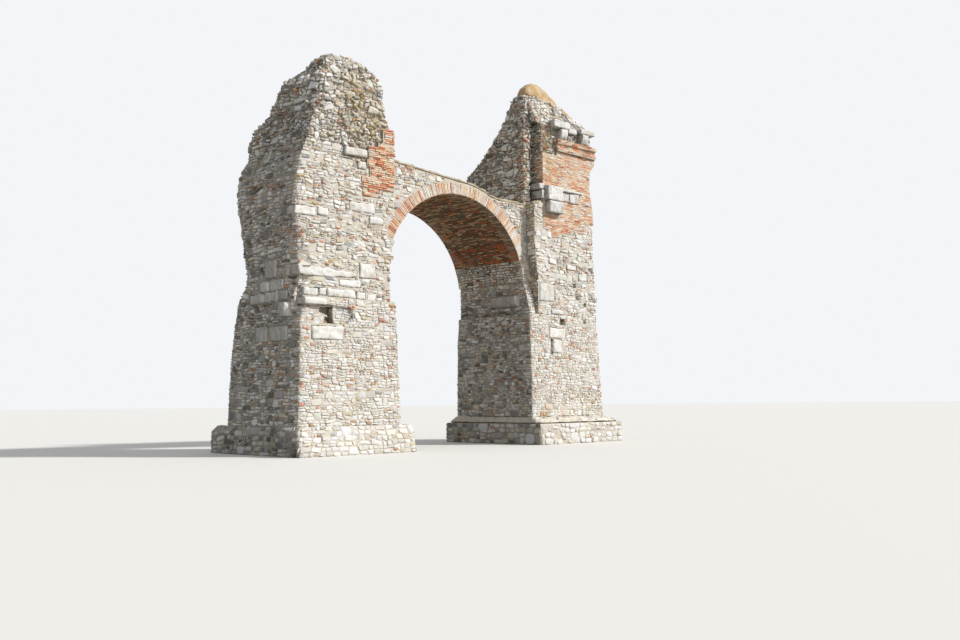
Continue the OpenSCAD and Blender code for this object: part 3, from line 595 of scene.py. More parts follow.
def lay(surface, low, high, rng, bond):
    """An irregular bond. Bands of random height have wavy bed lines. Each band is cut into
    cells of lognormal width with leaning ends, each cell into one to four layers, and each
    layer into stones as wide as some number times its height."""
    lines = [0.0]
    while lines[-1] < high - low - 0.5 * bond["band"]:
        lines.append(lines[-1] + bond["band"] * rng.uniform(*BAND_RANGE))
    lines = low + np.array(lines) * (high - low) / lines[-1]
    phase = rng.uniform(0, 2 * np.pi, (len(lines), len(RIPPLES)))
    wave = np.full(len(lines), bond["wave"])
    wave[[0, -1]] = 0
    found = []
    for k in range(len(lines) - 1):
        level = surface.level((lines[k] + lines[k + 1]) / 2)
        total = surface.extent(level)
        enough = int(3 * total / bond["cell"]) + 3
        widths = rng.lognormal(math.log(bond["cell"]), bond["spread"], enough)
        widths = widths.clip(*(share * bond["cell"] for share in CELL_RANGE))
        count = max(2, int(np.searchsorted(np.cumsum(widths), total)))
        widths = widths[:count] * total / widths[:count].sum()
        edge = np.concatenate([[0], np.cumsum(widths)])
        edge += rng.uniform(0, total) if surface.closed else 0
        narrow = LEAN_LIMIT_SHARE * np.minimum(widths, np.roll(widths, 1))
        lean = np.clip(rng.normal(0, LEAN_SHARE * bond["band"], count), -narrow, narrow)
        lean = np.append(lean, lean[0])

        def bed(line, along):
            turn = surface.turn(level, along)
            ripple = np.sin(turn[..., None] * RIPPLES + phase[line]).mean(-1)
            return lines[line] + wave[line] * ripple

        middle = (edge[:-1] + edge[1:]) / 2
        height = np.full(count, (lines[k] + lines[k + 1]) / 2)
        levels = np.full(count, level)
        layers = bond["layers"](surface.place(levels, middle, height, 0 * height), rng)
        rows = dividers(layers, rng, bond["wobble"])
        cell, row = split(layers)
        low_q, high_q = rows[cell, row], rows[cell, row + 1]
        tall = (high_q - low_q).mean(1) * (lines[k + 1] - lines[k])
        ratio = rng.uniform(*bond["ratio"], len(cell))
        across = np.clip(np.round(widths[cell] / (tall * ratio)), 1, MOST_STONES).astype(int)
        columns = dividers(across, rng, bond["wobble"])
        layer, column = split(across)
        left, right = columns[layer, column], columns[layer, column + 1]
        p = np.stack([left[:, 0], right[:, 0], right[:, 1], left[:, 1]], 1)
        ends = [q[layer, :1] * (1 - p) + q[layer, 1:] * p for q in (low_q, high_q)]
        q = np.stack([ends[0][:, 0], ends[0][:, 1], ends[1][:, 2], ends[1][:, 3]], 1)
        home = cell[layer]
        sides = [edge[home + s, None] + lean[home + s, None] * (2 * q - 1) for s in (0, 1)]
        along = sides[0] * (1 - p) + sides[1] * p
        beds = [bed(k, along), bed(k + 1, along)]
        found.append(Stones(np.full(len(home), level), along, beds[0] * (1 - q) + beds[1] * q))
    return at_corners(surface, joined(found))


CORNER_SNAP = 0.06
NARROWEST = 0.04
MOST_STRETCH, STRETCH_SPARE = 1.7, 0.05
FACE_REACH, RING_MARGIN = 0.1, 0.03


def at_corners(surface, stones):
    """The stones, with each one that would lie round a sharp corner cut in two there. An
    edge that ends near a corner is moved to it."""
    found = []
    for level in np.unique(stones.level):
        part = stones.pick(stones.level == level)
        for corner in surface.corners(level):
            part.along[np.abs(part.along - corner) < CORNER_SNAP] = corner
            over = (part.along.min(1) < corner) & (part.along.max(1) > corner)
            cut = part.pick(over)
            part = joined([part.pick(~over),
                           Stones(cut.level, np.minimum(cut.along, corner), cut.up),
                           Stones(cut.level, np.maximum(cut.along, corner), cut.up)])
        found.append(part)
    stones = joined(found)
    return stones.pick(stones.size()[0] > NARROWEST)


def lay_bricks(surface, low, high, rng, length, course, wobble=0.004):
    """Courses of bricks of about one height and length. Each course starts at random, and
    some bricks are short."""
    count = max(1, round((high - low) / course))
    course = (high - low) / count
    found = []
    for k in range(count):
        level = surface.level(low + (k + 0.5) * course)
        total = surface.extent(level)
        bricks = max(1, round(total / length))
        widths = np.ones(bricks) + rng.uniform(-BRICK_VARIATION, BRICK_VARIATION, bricks)
        widths[rng.random(bricks) < SHORT_BRICKS_SHARE] *= SHORT_LENGTH_SHARE
        edge = np.concatenate([[0], np.cumsum(widths)]) * total / widths.sum()
        edge += rng.uniform(0, total) if surface.closed else 0
        if not surface.closed and bricks > 1:
            edge[1:-1] += rng.uniform(-0.5, 0.5) * length
        along = np.stack([edge[:-1], edge[1:], edge[1:], edge[:-1]], 1)
        up = low + (k + np.array([[0, 0, 1, 1]])) * course
        up = up + rng.normal(0, wobble, (bricks, 4))
        found.append(Stones(np.full(bricks, level), along, up))
    return at_corners(surface, joined(found))


def fits(surface, stones, owners, reach=0.5):
    """True for the stones that lie on the owners with their middle and with four places out
    towards their corners, and that the surface doesn't stretch."""
    kept = np.ones(len(stones.level), bool)
    spots = [(0, 0), *((x * reach, y * reach) for x in (-1, 1) for y in (-1, 1))]
    for across, height in spots:
        along, up = stones.at(np.full((len(kept), 1), across), np.full((len(kept), 1), height))
        kept &= surface.holds(stones.level, along[:, 0], up[:, 0], owners)
    corners = surface.place(stones.level, stones.along, stones.up, 0 * stones.up)
    side = np.linalg.norm(np.roll(corners, -1, 1) - corners, axis=2)
    plain = np.hypot(np.roll(stones.along, -1, 1) - stones.along,
                     np.roll(stones.up, -1, 1) - stones.up)
    return kept & (side < MOST_STRETCH * plain + STRETCH_SPARE).all(1)


def off_ring(places):
    """True for the places that aren't on the faces of the brick ring."""
    x, z = places[:, 0] - RING_CENTRE_X, places[:, 2] - RING_CENTRE_Z
    radius, angle = np.hypot(x, z), np.degrees(np.arctan2(z, x))
    on_face = ((np.abs(places[:, 1] - RING_LOW[1]) < FACE_REACH)
               | (np.abs(places[:, 1] - BACK_RING_Y) < FACE_REACH))
    return ~(on_face & (radius > RING_INNER - FACE_REACH) & (radius < RING_OUTER + RING_MARGIN)
             & (angle > RING_BRICK_START) & (angle < RING_END + 1))


# Forms: what a stone or a brick looks like

CORNERS = 8
FOOT_DEPTH = -0.004
NARROWEST_RIM_SHARE, BACK_SHARE, HUB_SHIFT = 0.5, 0.93, 0.35
SWAY_WAVE, FRONT_ROUGHNESS, DEEPEST_SHARE = 1.1, 0.18, 0.6
# Share of light at a stone's hub, rim, widest edge and back, which the materials turn into
# painted shade on its sides
RING_LIGHT = (1, 1, 0.3, 0)
EDGE_RANGE = (0.7, 1.5)
WAVE_RANGE, WAVE_CREST = (0.7, 1.6), 1.6


def lumps(places, size, rng, waves=18):
    """A smooth random field from about -1 to 1: the sum of sine waves that run in random
    directions with random phases, divided by the root of their number and by its crest."""
    way = rng.normal(size=(waves, 3))
    length = size / (2 * np.pi) * rng.uniform(*WAVE_RANGE, waves)
    way /= (length * np.linalg.norm(way, axis=1))[:, None]
    phase = rng.uniform(0, 2 * np.pi, waves)
    return np.sin(places @ way.T + phase).sum(-1) * math.sqrt(2 / waves) / WAVE_CREST


def form_faces(pointed):
    """Triangles of a closed form: a hub in front, two rings of corners and a point behind, or
    three rings and a flat back."""
    k = np.arange(CORNERS)
    nxt = (k + 1) % CORNERS
    faces = [np.stack([np.zeros(CORNERS, int), 1 + k, 1 + nxt], 1)]
    for ring in (0,) if pointed else (0, 1):
        a, b = 1 + ring * CORNERS, 1 + (ring + 1) * CORNERS
        faces += [np.stack([a + k, b + k, b + nxt], 1), np.stack([a + k, b + nxt, a + nxt], 1)]
    last = 1 + 2 * CORNERS
    if pointed:
        ring = last - CORNERS
        faces.append(np.stack([np.full(CORNERS, last), ring + nxt, ring + k], 1))
        return np.concatenate(faces)
    k = np.arange(1, CORNERS - 1)
    faces.append(np.stack([np.full(CORNERS - 2, last), last + k + 1, last + k], 1))
    return np.concatenate(faces)


def outline(count, rng, form):
    """Eight points round a square from -1 to 1, two at each cut corner, anticlockwise. Each
    cut takes a random share of both sides, and each point is drawn in a little."""
    a = rng.uniform(*form["cut"], (count, 4))
    b = rng.uniform(*form["cut"], (count, 4)) * form["cut_across"]
    one = np.ones(count)
    x = np.stack([1 - b[:, 0], one, one, 1 - b[:, 1], b[:, 2] - 1, -one, -one, b[:, 3] - 1], 1)
    y = np.stack([-one, a[:, 0] - 1, 1 - a[:, 1], one, one, 1 - a[:, 2], a[:, 3] - 1, -one], 1)
    drawn = 1 - form["rough"] * rng.random((count, CORNERS))
    return x * drawn, y * drawn


def shape(surface, stones, rng, form):
    """Points of the stones, as (stone, point, axis), and each point's share of light.

    The outline, less the joint and turned a little, is carried through three rings: the
    bevelled rim of the front, the widest edge, and the back that is sunk in the mortar. The
    front is a plane at a random slope, with a hub that bulges."""
    count = len(stones.level)
    wide, tall = (v[:, None] for v in stones.size())
    x, y = outline(count, rng, form)
    turn = np.radians(rng.normal(0, form["tilt"], (count, 1)))
    real_x, real_y = x * wide, y * tall
    x = (real_x * np.cos(turn) - real_y * np.sin(turn)) / wide
    y = (real_x * np.sin(turn) + real_y * np.cos(turn)) / tall
    x, y = x * (1 - form["joint"] / wide), y * (1 - form["joint"] / tall)
    bevel = rng.uniform(*form["bevel"], (count, 1))
    rim_x, rim_y = (v * np.clip(1 - 2 * bevel / size, NARROWEST_RIM_SHARE, 1)
                    for v, size in ((x, wide), (y, tall)))
    hub = rng.uniform(-HUB_SHIFT, HUB_SHIFT, (2, count, 1))
    pointed = form["pointed"]
    back = 0 * hub if pointed else (BACK_SHARE * x, BACK_SHARE * y)
    across = np.concatenate([hub[0], rim_x, x, back[0]], 1)
    height = np.concatenate([hub[1], rim_y, y, back[1]], 1)
    along, up = stones.at(across, height)
    middle = surface.place(stones.level, *stones.middle(), np.zeros(count))
    front = rng.uniform(*form["proud"], (count, 1))
    front = front + (form["sway"] * lumps(middle, SWAY_WAVE, rng))[:, None]
    slope = np.tan(np.radians(rng.normal(0, form["slope"], (2, count, 1))))
    plane = front + (across * wide * slope[0] + height * tall * slope[1]) / 2
    out = plane + rng.normal(0, FRONT_ROUGHNESS, plane.shape) * bevel
    out[:, :1] += rng.uniform(0, form["bulge"], (count, 1))
    edge = slice(1 + CORNERS, 1 + 2 * CORNERS)
    out[:, edge] = plane[:, edge] - bevel * rng.uniform(*EDGE_RANGE, (count, CORNERS))
    out[:, edge] = np.minimum(out[:, edge], FOOT_DEPTH if pointed else np.inf)
    out = np.maximum(out, -DEEPEST_SHARE * form["sunk"])
    out[:, 1 + 2 * CORNERS:] = -form["sunk"]
    light = np.repeat(RING_LIGHT, [1, CORNERS, CORNERS, back[0].shape[1]])
    return surface.place(stones.level, along, up, out), np.broadcast_to(light, along.shape)


# Colours of the stones

KINDS = ("white", "cream", "tan", "ochre", "grey", "slate", "brown", "brick", "red")

# How often each kind of stone comes in each part of the walls, in the order of KINDS
MIX_SHARES = {
    "low_front": (0.47, 0.33, 0.06, 0.02, 0.02, 0.0, 0.0, 0.09, 0.01),
    "high_front": (0.39, 0.32, 0.11, 0.02, 0.06, 0.005, 0.0, 0.08, 0.015),
    "side": (0.25, 0.22, 0.10, 0.02, 0.24, 0.11, 0.02, 0.032, 0.008),
    "inner": (0.22, 0.22, 0.15, 0.02, 0.21, 0.12, 0.02, 0.032, 0.008),
    "warm": (0.12, 0.36, 0.32, 0.03, 0.08, 0.02, 0.02, 0.04, 0.01),
    "core": (0.46, 0.27, 0.10, 0.02, 0.08, 0.01, 0.0, 0.05, 0.01),
    "core_side": (0.32, 0.22, 0.10, 0.02, 0.17, 0.09, 0.02, 0.05, 0.01),
    "bricks": (0.26, 0.24, 0.12, 0.03, 0.07, 0.01, 0.02, 0.20, 0.05),
}
# Grime and painted shade of each part of the walls: the sides and inner faces, which face away
# from the key light, are painted darker
DIRT_AND_SHADE_SHARES = {"low_front": 0.0, "high_front": 0.06, "side": 0.40, "inner": 0.40, "warm": 0.15,
               "core": 0.06, "core_side": 0.30, "bricks": 0.1}


FAR = 99.0

# Boxes in which broken brick courses show between the stones, as ranges of x, y and z: by
# the arch side of the left pier, round its left corner over the big blocks, along the recess
# of the right core, beside the brick facing, and in the left core by the arch
BRICK_BOXES = (((-3.9, 0), (-FAR, -1.5), (4.95, 5.5)),
               ((-FAR, -6.8), (-FAR, -1.2), (6.8, 7.25)),
               ((0, 3.5), (-FAR, -1.35), (RIGHT_BARE_Z, 13.0)),
               ((3.9, 4.45), (-FAR, -1.5), (9.4, 12.4)),
               ((-3.6, 0), (-FAR, -1.2), (9.6, 11.5)))


def brick_layers(places):
    """True for the places in any of the boxes with brick courses."""
    return np.any([np.all([(v > low) & (v < high) for v, (low, high) in zip(places.T, box)], 0)
                   for box in BRICK_BOXES], 0)


TURNED = 0.5
RIGHT_LOW_FRONT_Z = 8.2


def wall_part(places, normals):
    """Name of the part of the walls that each place is in."""
    x, _, z = places.T
    front = normals[:, 1] < -TURNED
    left = x < 0
    core = z > np.where(left, LEFT_BARE_Z, RIGHT_BARE_Z)
    part = np.full(len(places), "side", dtype="U12")
    part[~left & (normals[:, 0] < -TURNED)] = "inner"
    part[left & (normals[:, 0] > TURNED)] = "inner"
    part[(part == "inner") & (z > IMPOST_Z)] = "warm"
    part[front] = "high_front"
    part[front & ((z < LEDGE_Z) | (~left & (z < RIGHT_LOW_FRONT_Z)))] = "low_front"
    part[core] = "core_side"
    part[core & front] = "core"
    part[brick_layers(places)] = "bricks"
    return part


def near(places, middle, reach):
    """How near places are to a middle: the bell curve of the distance over the reach."""
    return np.exp(-(((places - np.array(middle)) / np.array(reach)) ** 2).sum(1))


def colour_of(key):
    """One of the colours that a user can change."""
    return tuple(getattr(bpy.context.scene.arch_colours, key))


def lichened(tint, grown):
    """Tints with lichen mixed in, where its share is above zero."""
    return tint + (np.array(colour_of("lichen"))[:3] - tint) * grown[:, None]


FADED, DAMP = 0.25, 0.25
LARGEST_BRICK = 0.022
SHADED_VARIATION, LIT_VARIATION, HUE_VARIATION, DIRT_VARIATION = 0.17, 0.07, 0.015, 0.1
DARKEST, LIGHTEST = 0.01, 0.98

# Middle, reach and strength of each patch of lichen on the rubble, and the one on the bricks
LICHEN_PATCHES = (((-4.35, -1.7, 11.0), (0.75, 0.8, 1.3), 1.0),
                  ((-4.9, -1.7, 11.9), (0.5, 0.8, 0.6), 1.0),
                  ((4.4, -1.9, 11.2), (0.28, 0.6, 1.5), 1.0),
                  ((3.4, -1.9, 10.2), (0.35, 0.6, 0.8), 0.6))
BRICK_LICHEN = ((4.35, -2.0, 10.9), (0.22, 0.5, 1.6))
MOST_LICHEN, BRICK_LICHEN_RANGE = 0.75, (0.3, 1)

# How often each kind of brick comes in each part of the brickwork, and where the parts are
BRICK_KINDS = ("brick", "salmon", "red", "tan", "brown", "white")
BRICK_SHARES = {
    "facing": (0.30, 0.48, 0.04, 0.11, 0.01, 0.06),
    "soffit": (0.40, 0.06, 0.16, 0.14, 0.22, 0.02),
    "crown": (0.12, 0.03, 0.06, 0.36, 0.42, 0.01),
    "ring": (0.11, 0.52, 0.0, 0.13, 0.0, 0.24),
    "haunch": (0.50, 0.36, 0.06, 0.06, 0.0, 0.02),
    "course": (0.42, 0.22, 0.22, 0.08, 0.02, 0.04),
}
CROWN_START, CROWN_END, HAUNCH_START = 36, 150, 128
COURSE_Z = 11.4
ARCH_MARGIN, EDGE_MARGIN = 0.05, 0.02
# Tint and darkening of the bricks under the vault and of those outside it: the underside of the
# vault is darker and browner
OUTSIDE_TINT = 1.3
SOFFIT_TINT = np.array((1.12, 0.92, 0.68))
BRICK_VARIETY, BRICK_DIRT_VARIATION = 0.10, 0.08
SOFFIT_DARKENING, OUTSIDE_DARKENING = 0.35, 0.05


def rubble_tints(places, normals, areas, rng):
    """Colour of each rubble stone, and its grime and painted shade: the sides and inner faces are
    painted darker, and stones near the ground off the low front are damp. The part of the wall
    gives how often each kind comes. Bricks among the stones are small and faded. Brightness
    varies, and lichen is mixed in where it grows."""
    palette = np.array([colour_of(kind)[:3] for kind in KINDS])
    cream, brick = KINDS.index("cream"), KINDS.index("brick")
    palette[brick:] += (palette[cream] - palette[brick:]) * FADED
    part = wall_part(places, normals)
    limits = np.cumsum([MIX_SHARES[name] for name in part], axis=1)
    kind = (rng.random((len(part), 1)) > limits / limits[:, -1:]).sum(1)
    rare = (kind >= brick) | (kind == KINDS.index("ochre"))
    kind[rare & (areas > LARGEST_BRICK)] = cream
    shaded = np.isin(part, ("side", "inner", "core_side"))
    vary = np.where(shaded, SHADED_VARIATION, LIT_VARIATION)[:, None]
    tint = palette[kind] * np.exp(vary * rng.normal(size=(len(part), 1)))
    tint *= rng.normal(1, HUE_VARIATION, tint.shape)
    grown = sum(strength * near(places, *patch) for *patch, strength in LICHEN_PATCHES)
    grown = np.clip(grown, 0, 1) * rng.uniform(0.0, MOST_LICHEN, len(part))
    tint = lichened(tint, grown)
    # grime and painted shade by part of the wall, and damp near the ground
    dirt = np.array([DIRT_AND_SHADE_SHARES[name] for name in part])
    dirt += rng.normal(0, DIRT_VARIATION, len(part))
    dirt += np.where((places[:, 2] < PLINTH_HEIGHT) & (part != "low_front"), DAMP, 0)
    return np.clip(tint, DARKEST, LIGHTEST), np.clip(dirt, 0, 1)


def brick_tints(places, _normals, _areas, rng):
    """Colour of each brick, and how far it is darkened: orange, salmon and red in shares that
    depend on where it is. The underside of the vault is redder, browner and darker, and greyer in
    its crown."""
    palette = np.array([colour_of(kind)[:3] for kind in BRICK_KINDS])
    x, y, z = places.T
    radius = np.hypot(x - RING_CENTRE_X, z - RING_CENTRE_Z)
    angle = np.degrees(np.arctan2(z - RING_CENTRE_Z, x - RING_CENTRE_X))
    soffit = ((radius < RING_INNER + ARCH_MARGIN) & (y > RING_LOW[1] + EDGE_MARGIN)
              & (y < BACK_RING_Y - EDGE_MARGIN))
    ring = ~soffit & (radius < RING_OUTER + ARCH_MARGIN) & (z > RING_CENTRE_Z)
    shares = np.tile(BRICK_SHARES["facing"], (len(places), 1))
    for part, where in (("soffit", soffit),
                        ("crown", soffit & (angle > CROWN_START) & (angle < CROWN_END)),
                        ("ring", ring), ("haunch", ring & (angle > HAUNCH_START)),
                        ("course", z > COURSE_Z)):
        shares[where] = BRICK_SHARES[part]
    limits = np.cumsum(shares, axis=1)
    kind = (rng.random((len(places), 1)) > limits / limits[:, -1:]).sum(1)
    tint = palette[kind] * rng.lognormal(0, BRICK_VARIETY, (len(places), 1))
    tint *= np.where(soffit[:, None], SOFFIT_TINT, OUTSIDE_TINT)
    dirt = np.where(soffit, SOFFIT_DARKENING, OUTSIDE_DARKENING) + rng.normal(0, BRICK_DIRT_VARIATION, len(places))
    grown = near(places, *BRICK_LICHEN) * rng.uniform(*BRICK_LICHEN_RANGE, len(places))
    tint = lichened(tint, grown)
    return np.clip(tint, DARKEST, LIGHTEST), np.clip(dirt, 0, 1)


# Pieces


def make_piece(name, points, faces, values, material, smooth=False):
    """A mesh object from arrays of points, triangles and values per point. It rides on the root
    and takes the given material."""
    mesh = bpy.data.meshes.new(name)
    mesh.vertices.add(len(points))
    mesh.vertices.foreach_set("co", points.astype(np.float32).ravel())
    mesh.loops.add(faces.size)
    mesh.loops.foreach_set("vertex_index", faces.astype(np.int32).ravel())
    mesh.polygons.add(len(faces))
    mesh.polygons.foreach_set("loop_start", np.arange(0, faces.size, 3, dtype=np.int32))
    mesh.polygons.foreach_set("use_smooth", np.full(len(faces), smooth))
    for key, value in values.items():
        if value.ndim == 2:
            value = np.concatenate([value, np.ones((len(value), 1))], 1)
            layer, field = mesh.attributes.new(key, "FLOAT_COLOR", "POINT"), "color"
        else:
            layer, field = mesh.attributes.new(key, "FLOAT", "POINT"), "value"
        layer.data.foreach_set(field, value.astype(np.float32).ravel())
    mesh.update(calc_edges=True)
    mesh.materials.append(material)
    piece = bpy.data.objects.new(name, mesh)
    bpy.context.scene.collection.objects.link(piece)
    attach(piece, "root")
    return piece


def build(name, surface, stones, rng, form, tints, material):
    """One piece made of like forms on a surface."""
    points, light = shape(surface, stones, rng, form)
    points[..., 2] = np.maximum(points[..., 2], 0.002)
    count, each = points.shape[:2]
    middles = points[:, 0]
    wide, tall = stones.size()
    normals = surface.facing(stones.level, *stones.middle())
    tint, dirt = tints(middles, normals, wide * tall, rng)
    faces = form_faces(form["pointed"])[None] + np.arange(count)[:, None, None] * each
    faces = faces.reshape(-1, 3)
    values = {"tint": np.repeat(tint, each, 0), "dirt": np.repeat(dirt, each),
              "light": light.ravel()}
    return make_piece(name, points.reshape(-1, 3), faces, values, material)


def rubble(name, surface, low, high, seed, bond, form, owners, material):
    """One piece of rubble from its bond to its mesh."""
    rng = np.random.default_rng(seed)
    stones = lay(surface, low, high, rng, bond)
    stones = stones.pick(fits(surface, stones, owners))
    middles = surface.place(stones.level, *stones.middle(), np.zeros(len(stones.level)))
    stones = stones.pick(off_ring(middles) & (rng.random(len(middles)) > bond["missing"]))
    return build(name, surface, stones, rng, form, rubble_tints, material)


def bricks(name, surface, low, high, seed, form, owners, material, missing=0.02, length=None):
    """One piece of brickwork from its courses to its mesh."""
    sizes = bpy.context.scene.arch_brick
    rng = np.random.default_rng(seed)
    stones = lay_bricks(surface, low, high, rng, length or sizes.length,
                        sizes.height + sizes.joint)
    stones = stones.pick(fits(surface, stones, owners, 0.3)
                         & (rng.random(len(stones.level)) > missing))
    return build(name, surface, stones, rng, form, brick_tints, material)


def stone_form(**changes):
    """Form of a facing stone, with changes."""
    sizes = bpy.context.scene.arch_rubble
    form = {"joint": sizes.joint, "proud": (0.3 * sizes.proud, 1.1 * sizes.proud),
            "sunk": 0.06, "bevel": (0.006, 0.018), "slope": 5, "tilt": 4, "bulge": 0.012,
            "cut": (0.05, 0.65), "cut_across": 0.75, "rough": 0.12, "sway": 0.01,
            "pointed": True}
    return {**form, **changes}


def core_form(**changes):
    """Form of a stone of the bare core, with changes."""
    form = {"proud": (0.0, bpy.context.scene.arch_rubble.core_proud), "sunk": 0.12,
            "bevel": (0.01, 0.03), "slope": 13, "tilt": 8, "bulge": 0.03, "sway": 0.012,
            "joint": 0.012, "pointed": False}
    return stone_form(**{**form, **changes})


def brick_form(**changes):
    """Form of a brick, with changes."""
    form = {"joint": bpy.context.scene.arch_brick.joint, "proud": (0.002, 0.018),
            "sunk": 0.05, "bevel": (0.003, 0.007), "slope": 1.5, "tilt": 0.6, "bulge": 0.002,
            "cut": (0.05, 0.35), "cut_across": 0.12, "rough": 0.03, "sway": 0.0,
            "pointed": True}
    return {**form, **changes}


def layer_choice(*weights):
    """A rule for how many layers the cells have: weights of one to four layers, and three or
    four where brick courses show."""
    limits = np.cumsum(weights) / sum(weights)

    def choose(places, rng):
        count = 1 + (rng.random((len(places), 1)) > limits).sum(1)
        return np.where(brick_layers(places), rng.integers(3, 5, len(places)), count)

    return choose


def stone_bond(**changes):
    """Bond of the facing rubble, with changes."""
    sizes = bpy.context.scene.arch_rubble
    bond = {"band": sizes.band, "cell": sizes.cell, "spread": 0.34, "wave": 0.075,
            "ratio": (1.4, 3.0), "layers": layer_choice(0.12, 0.66, 0.21, 0.01),
            "missing": 0.01, "wobble": 0.16}
    return {**bond, **changes}


BLOCK_VOXEL, CORNICE_VOXEL, MORTAR_VOXEL = 0.042, 0.036, 0.075
BLOCK_WEAR, MORTAR_WEAR = 0.02, 0.03
BLOCK_VARIATION = 0.07

# Share and size of the two kinds of lumps in a worn face, and how far they lie in it
WEAR_WAVES = ((0.6, 0.35), (0.4, 0.12))
WEAR_DEPTH_SHARE = 0.3


def worn(name, material, seed, voxel=BLOCK_VOXEL, wear=BLOCK_WEAR):
    """A worn copy of a node, which it replaces. Each solid is cut into voxels, smoothed, and
    drawn in along its normals by lumps of two sizes."""
    rng = np.random.default_rng(seed)
    parts, faces, tints, count = [], [], [], 0
    for points, triangle in solids(name):
        used, where = np.unique(triangle, return_inverse=True)
        rough = bpy.data.meshes.new(name + "_rough")
        rough.from_pydata(points[used].tolist(), [], where.reshape(-1, 3).tolist())
        source = bpy.data.objects.new(name + "_rough", rough)
        bpy.context.scene.collection.objects.link(source)
        remesh = source.modifiers.new("voxels", "REMESH")
        remesh.mode, remesh.voxel_size = "VOXEL", voxel
        smooth = source.modifiers.new("round", "SMOOTH")
        smooth.factor, smooth.iterations = 0.5, 3
        seen = source.evaluated_get(bpy.context.evaluated_depsgraph_get())
        mesh = bpy.data.meshes.new_from_object(seen)
        spot, corners = read_mesh(mesh)
        normal = np.empty(spot.size, np.float32)
        mesh.vertices.foreach_get("normal", normal)
        depth = sum(share * lumps(spot, size, rng) for share, size in WEAR_WAVES)
        depth = (depth - WEAR_DEPTH_SHARE) * wear
        parts.append(spot + normal.reshape(-1, 3) * depth[:, None])
        faces.append(corners + count)
        tints.append(np.full(len(spot), rng.normal(1, BLOCK_VARIATION)))
        count += len(spot)
        bpy.data.objects.remove(source)
        bpy.data.meshes.remove(rough)
        bpy.data.meshes.remove(mesh)
    points = np.concatenate(parts)
    points[:, 2] = np.maximum(points[:, 2], 0.0)
    piece = make_piece("worn_" + name, points, np.concatenate(faces),
                       {"brightness": np.concatenate(tints)}, material, smooth=True)
    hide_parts(name)
    return piece


SKIRT_RAMP, SKIRT_UNEVENNESS, SKIRT_LUMP = 0.8, 0.35, 0.5


def drape(name, roof, low, high, thickness, seed, material, slot, step=0.06,
          passes=30, sink=0.10):
    """A skin of mortar laid over a roof that is smoothed from left to right, and that comes
    out of what lies under its left end. Its upper and lower sheets part by a hill that is
    zero all round its edge, where they share their points, and lumps make it uneven."""
    rng = np.random.default_rng(seed)
    counts = [int((high[k] - low[k]) / step) + 1 for k in (0, 1)]
    u, v = np.meshgrid(*(np.linspace(-1, 1, count) for count in counts))
    ramp = np.clip(SKIRT_RAMP * (1 + u), 0, 1)
    hill = np.sqrt(np.clip((1 - u ** 4) * (1 - v ** 4), 0, 1)) * ramp
    length = (low[0] + high[0] + u * (high[0] - low[0])) / 2 - roof.low[0]
    height = (low[1] + high[1] + v * (high[1] - low[1])) / 2 - roof.low[1]
    flat = roof.place(0, length, height, 0 * length)
    for _ in range(passes):
        flat[:, 1:-1, 2] = (flat[:, :-2, 2] + 2 * flat[:, 1:-1, 2] + flat[:, 2:, 2]) / 4
    flat[..., 2] -= sink * (1 - ramp)
    uneven = 1 + SKIRT_UNEVENNESS * lumps(flat, SKIRT_LUMP, rng)
    top, under = (flat + hill[..., None] * np.stack([0 * u, 0 * u, rise], -1)
                  for rise in (thickness * uneven, 0 * u - thickness))
    inner = np.zeros_like(u, bool)
    inner[1:-1, 1:-1] = True
    number = np.arange(u.size).reshape(u.shape)
    lower = np.where(inner, u.size + np.cumsum(inner).reshape(u.shape) - 1, number)
    faces = []
    for grid, flip in ((number, 1), (lower, -1)):
        a, b, c, d = grid[:-1, :-1], grid[:-1, 1:], grid[1:, 1:], grid[1:, :-1]
        for corner in ((a, b, c), (a, c, d)):
            faces.append(np.stack(corner, -1).reshape(-1, 3)[:, ::flip])
    points = np.concatenate([top.reshape(-1, 3), under[inner]])
    return make_piece(name, points, np.concatenate(faces), {}, material, smooth=True)


def finish_node(name, material):
    """Gives a node that stays in view its material."""
    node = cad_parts[name]
    node.data.materials.clear()
    node.data.materials.append(material)


# Materials


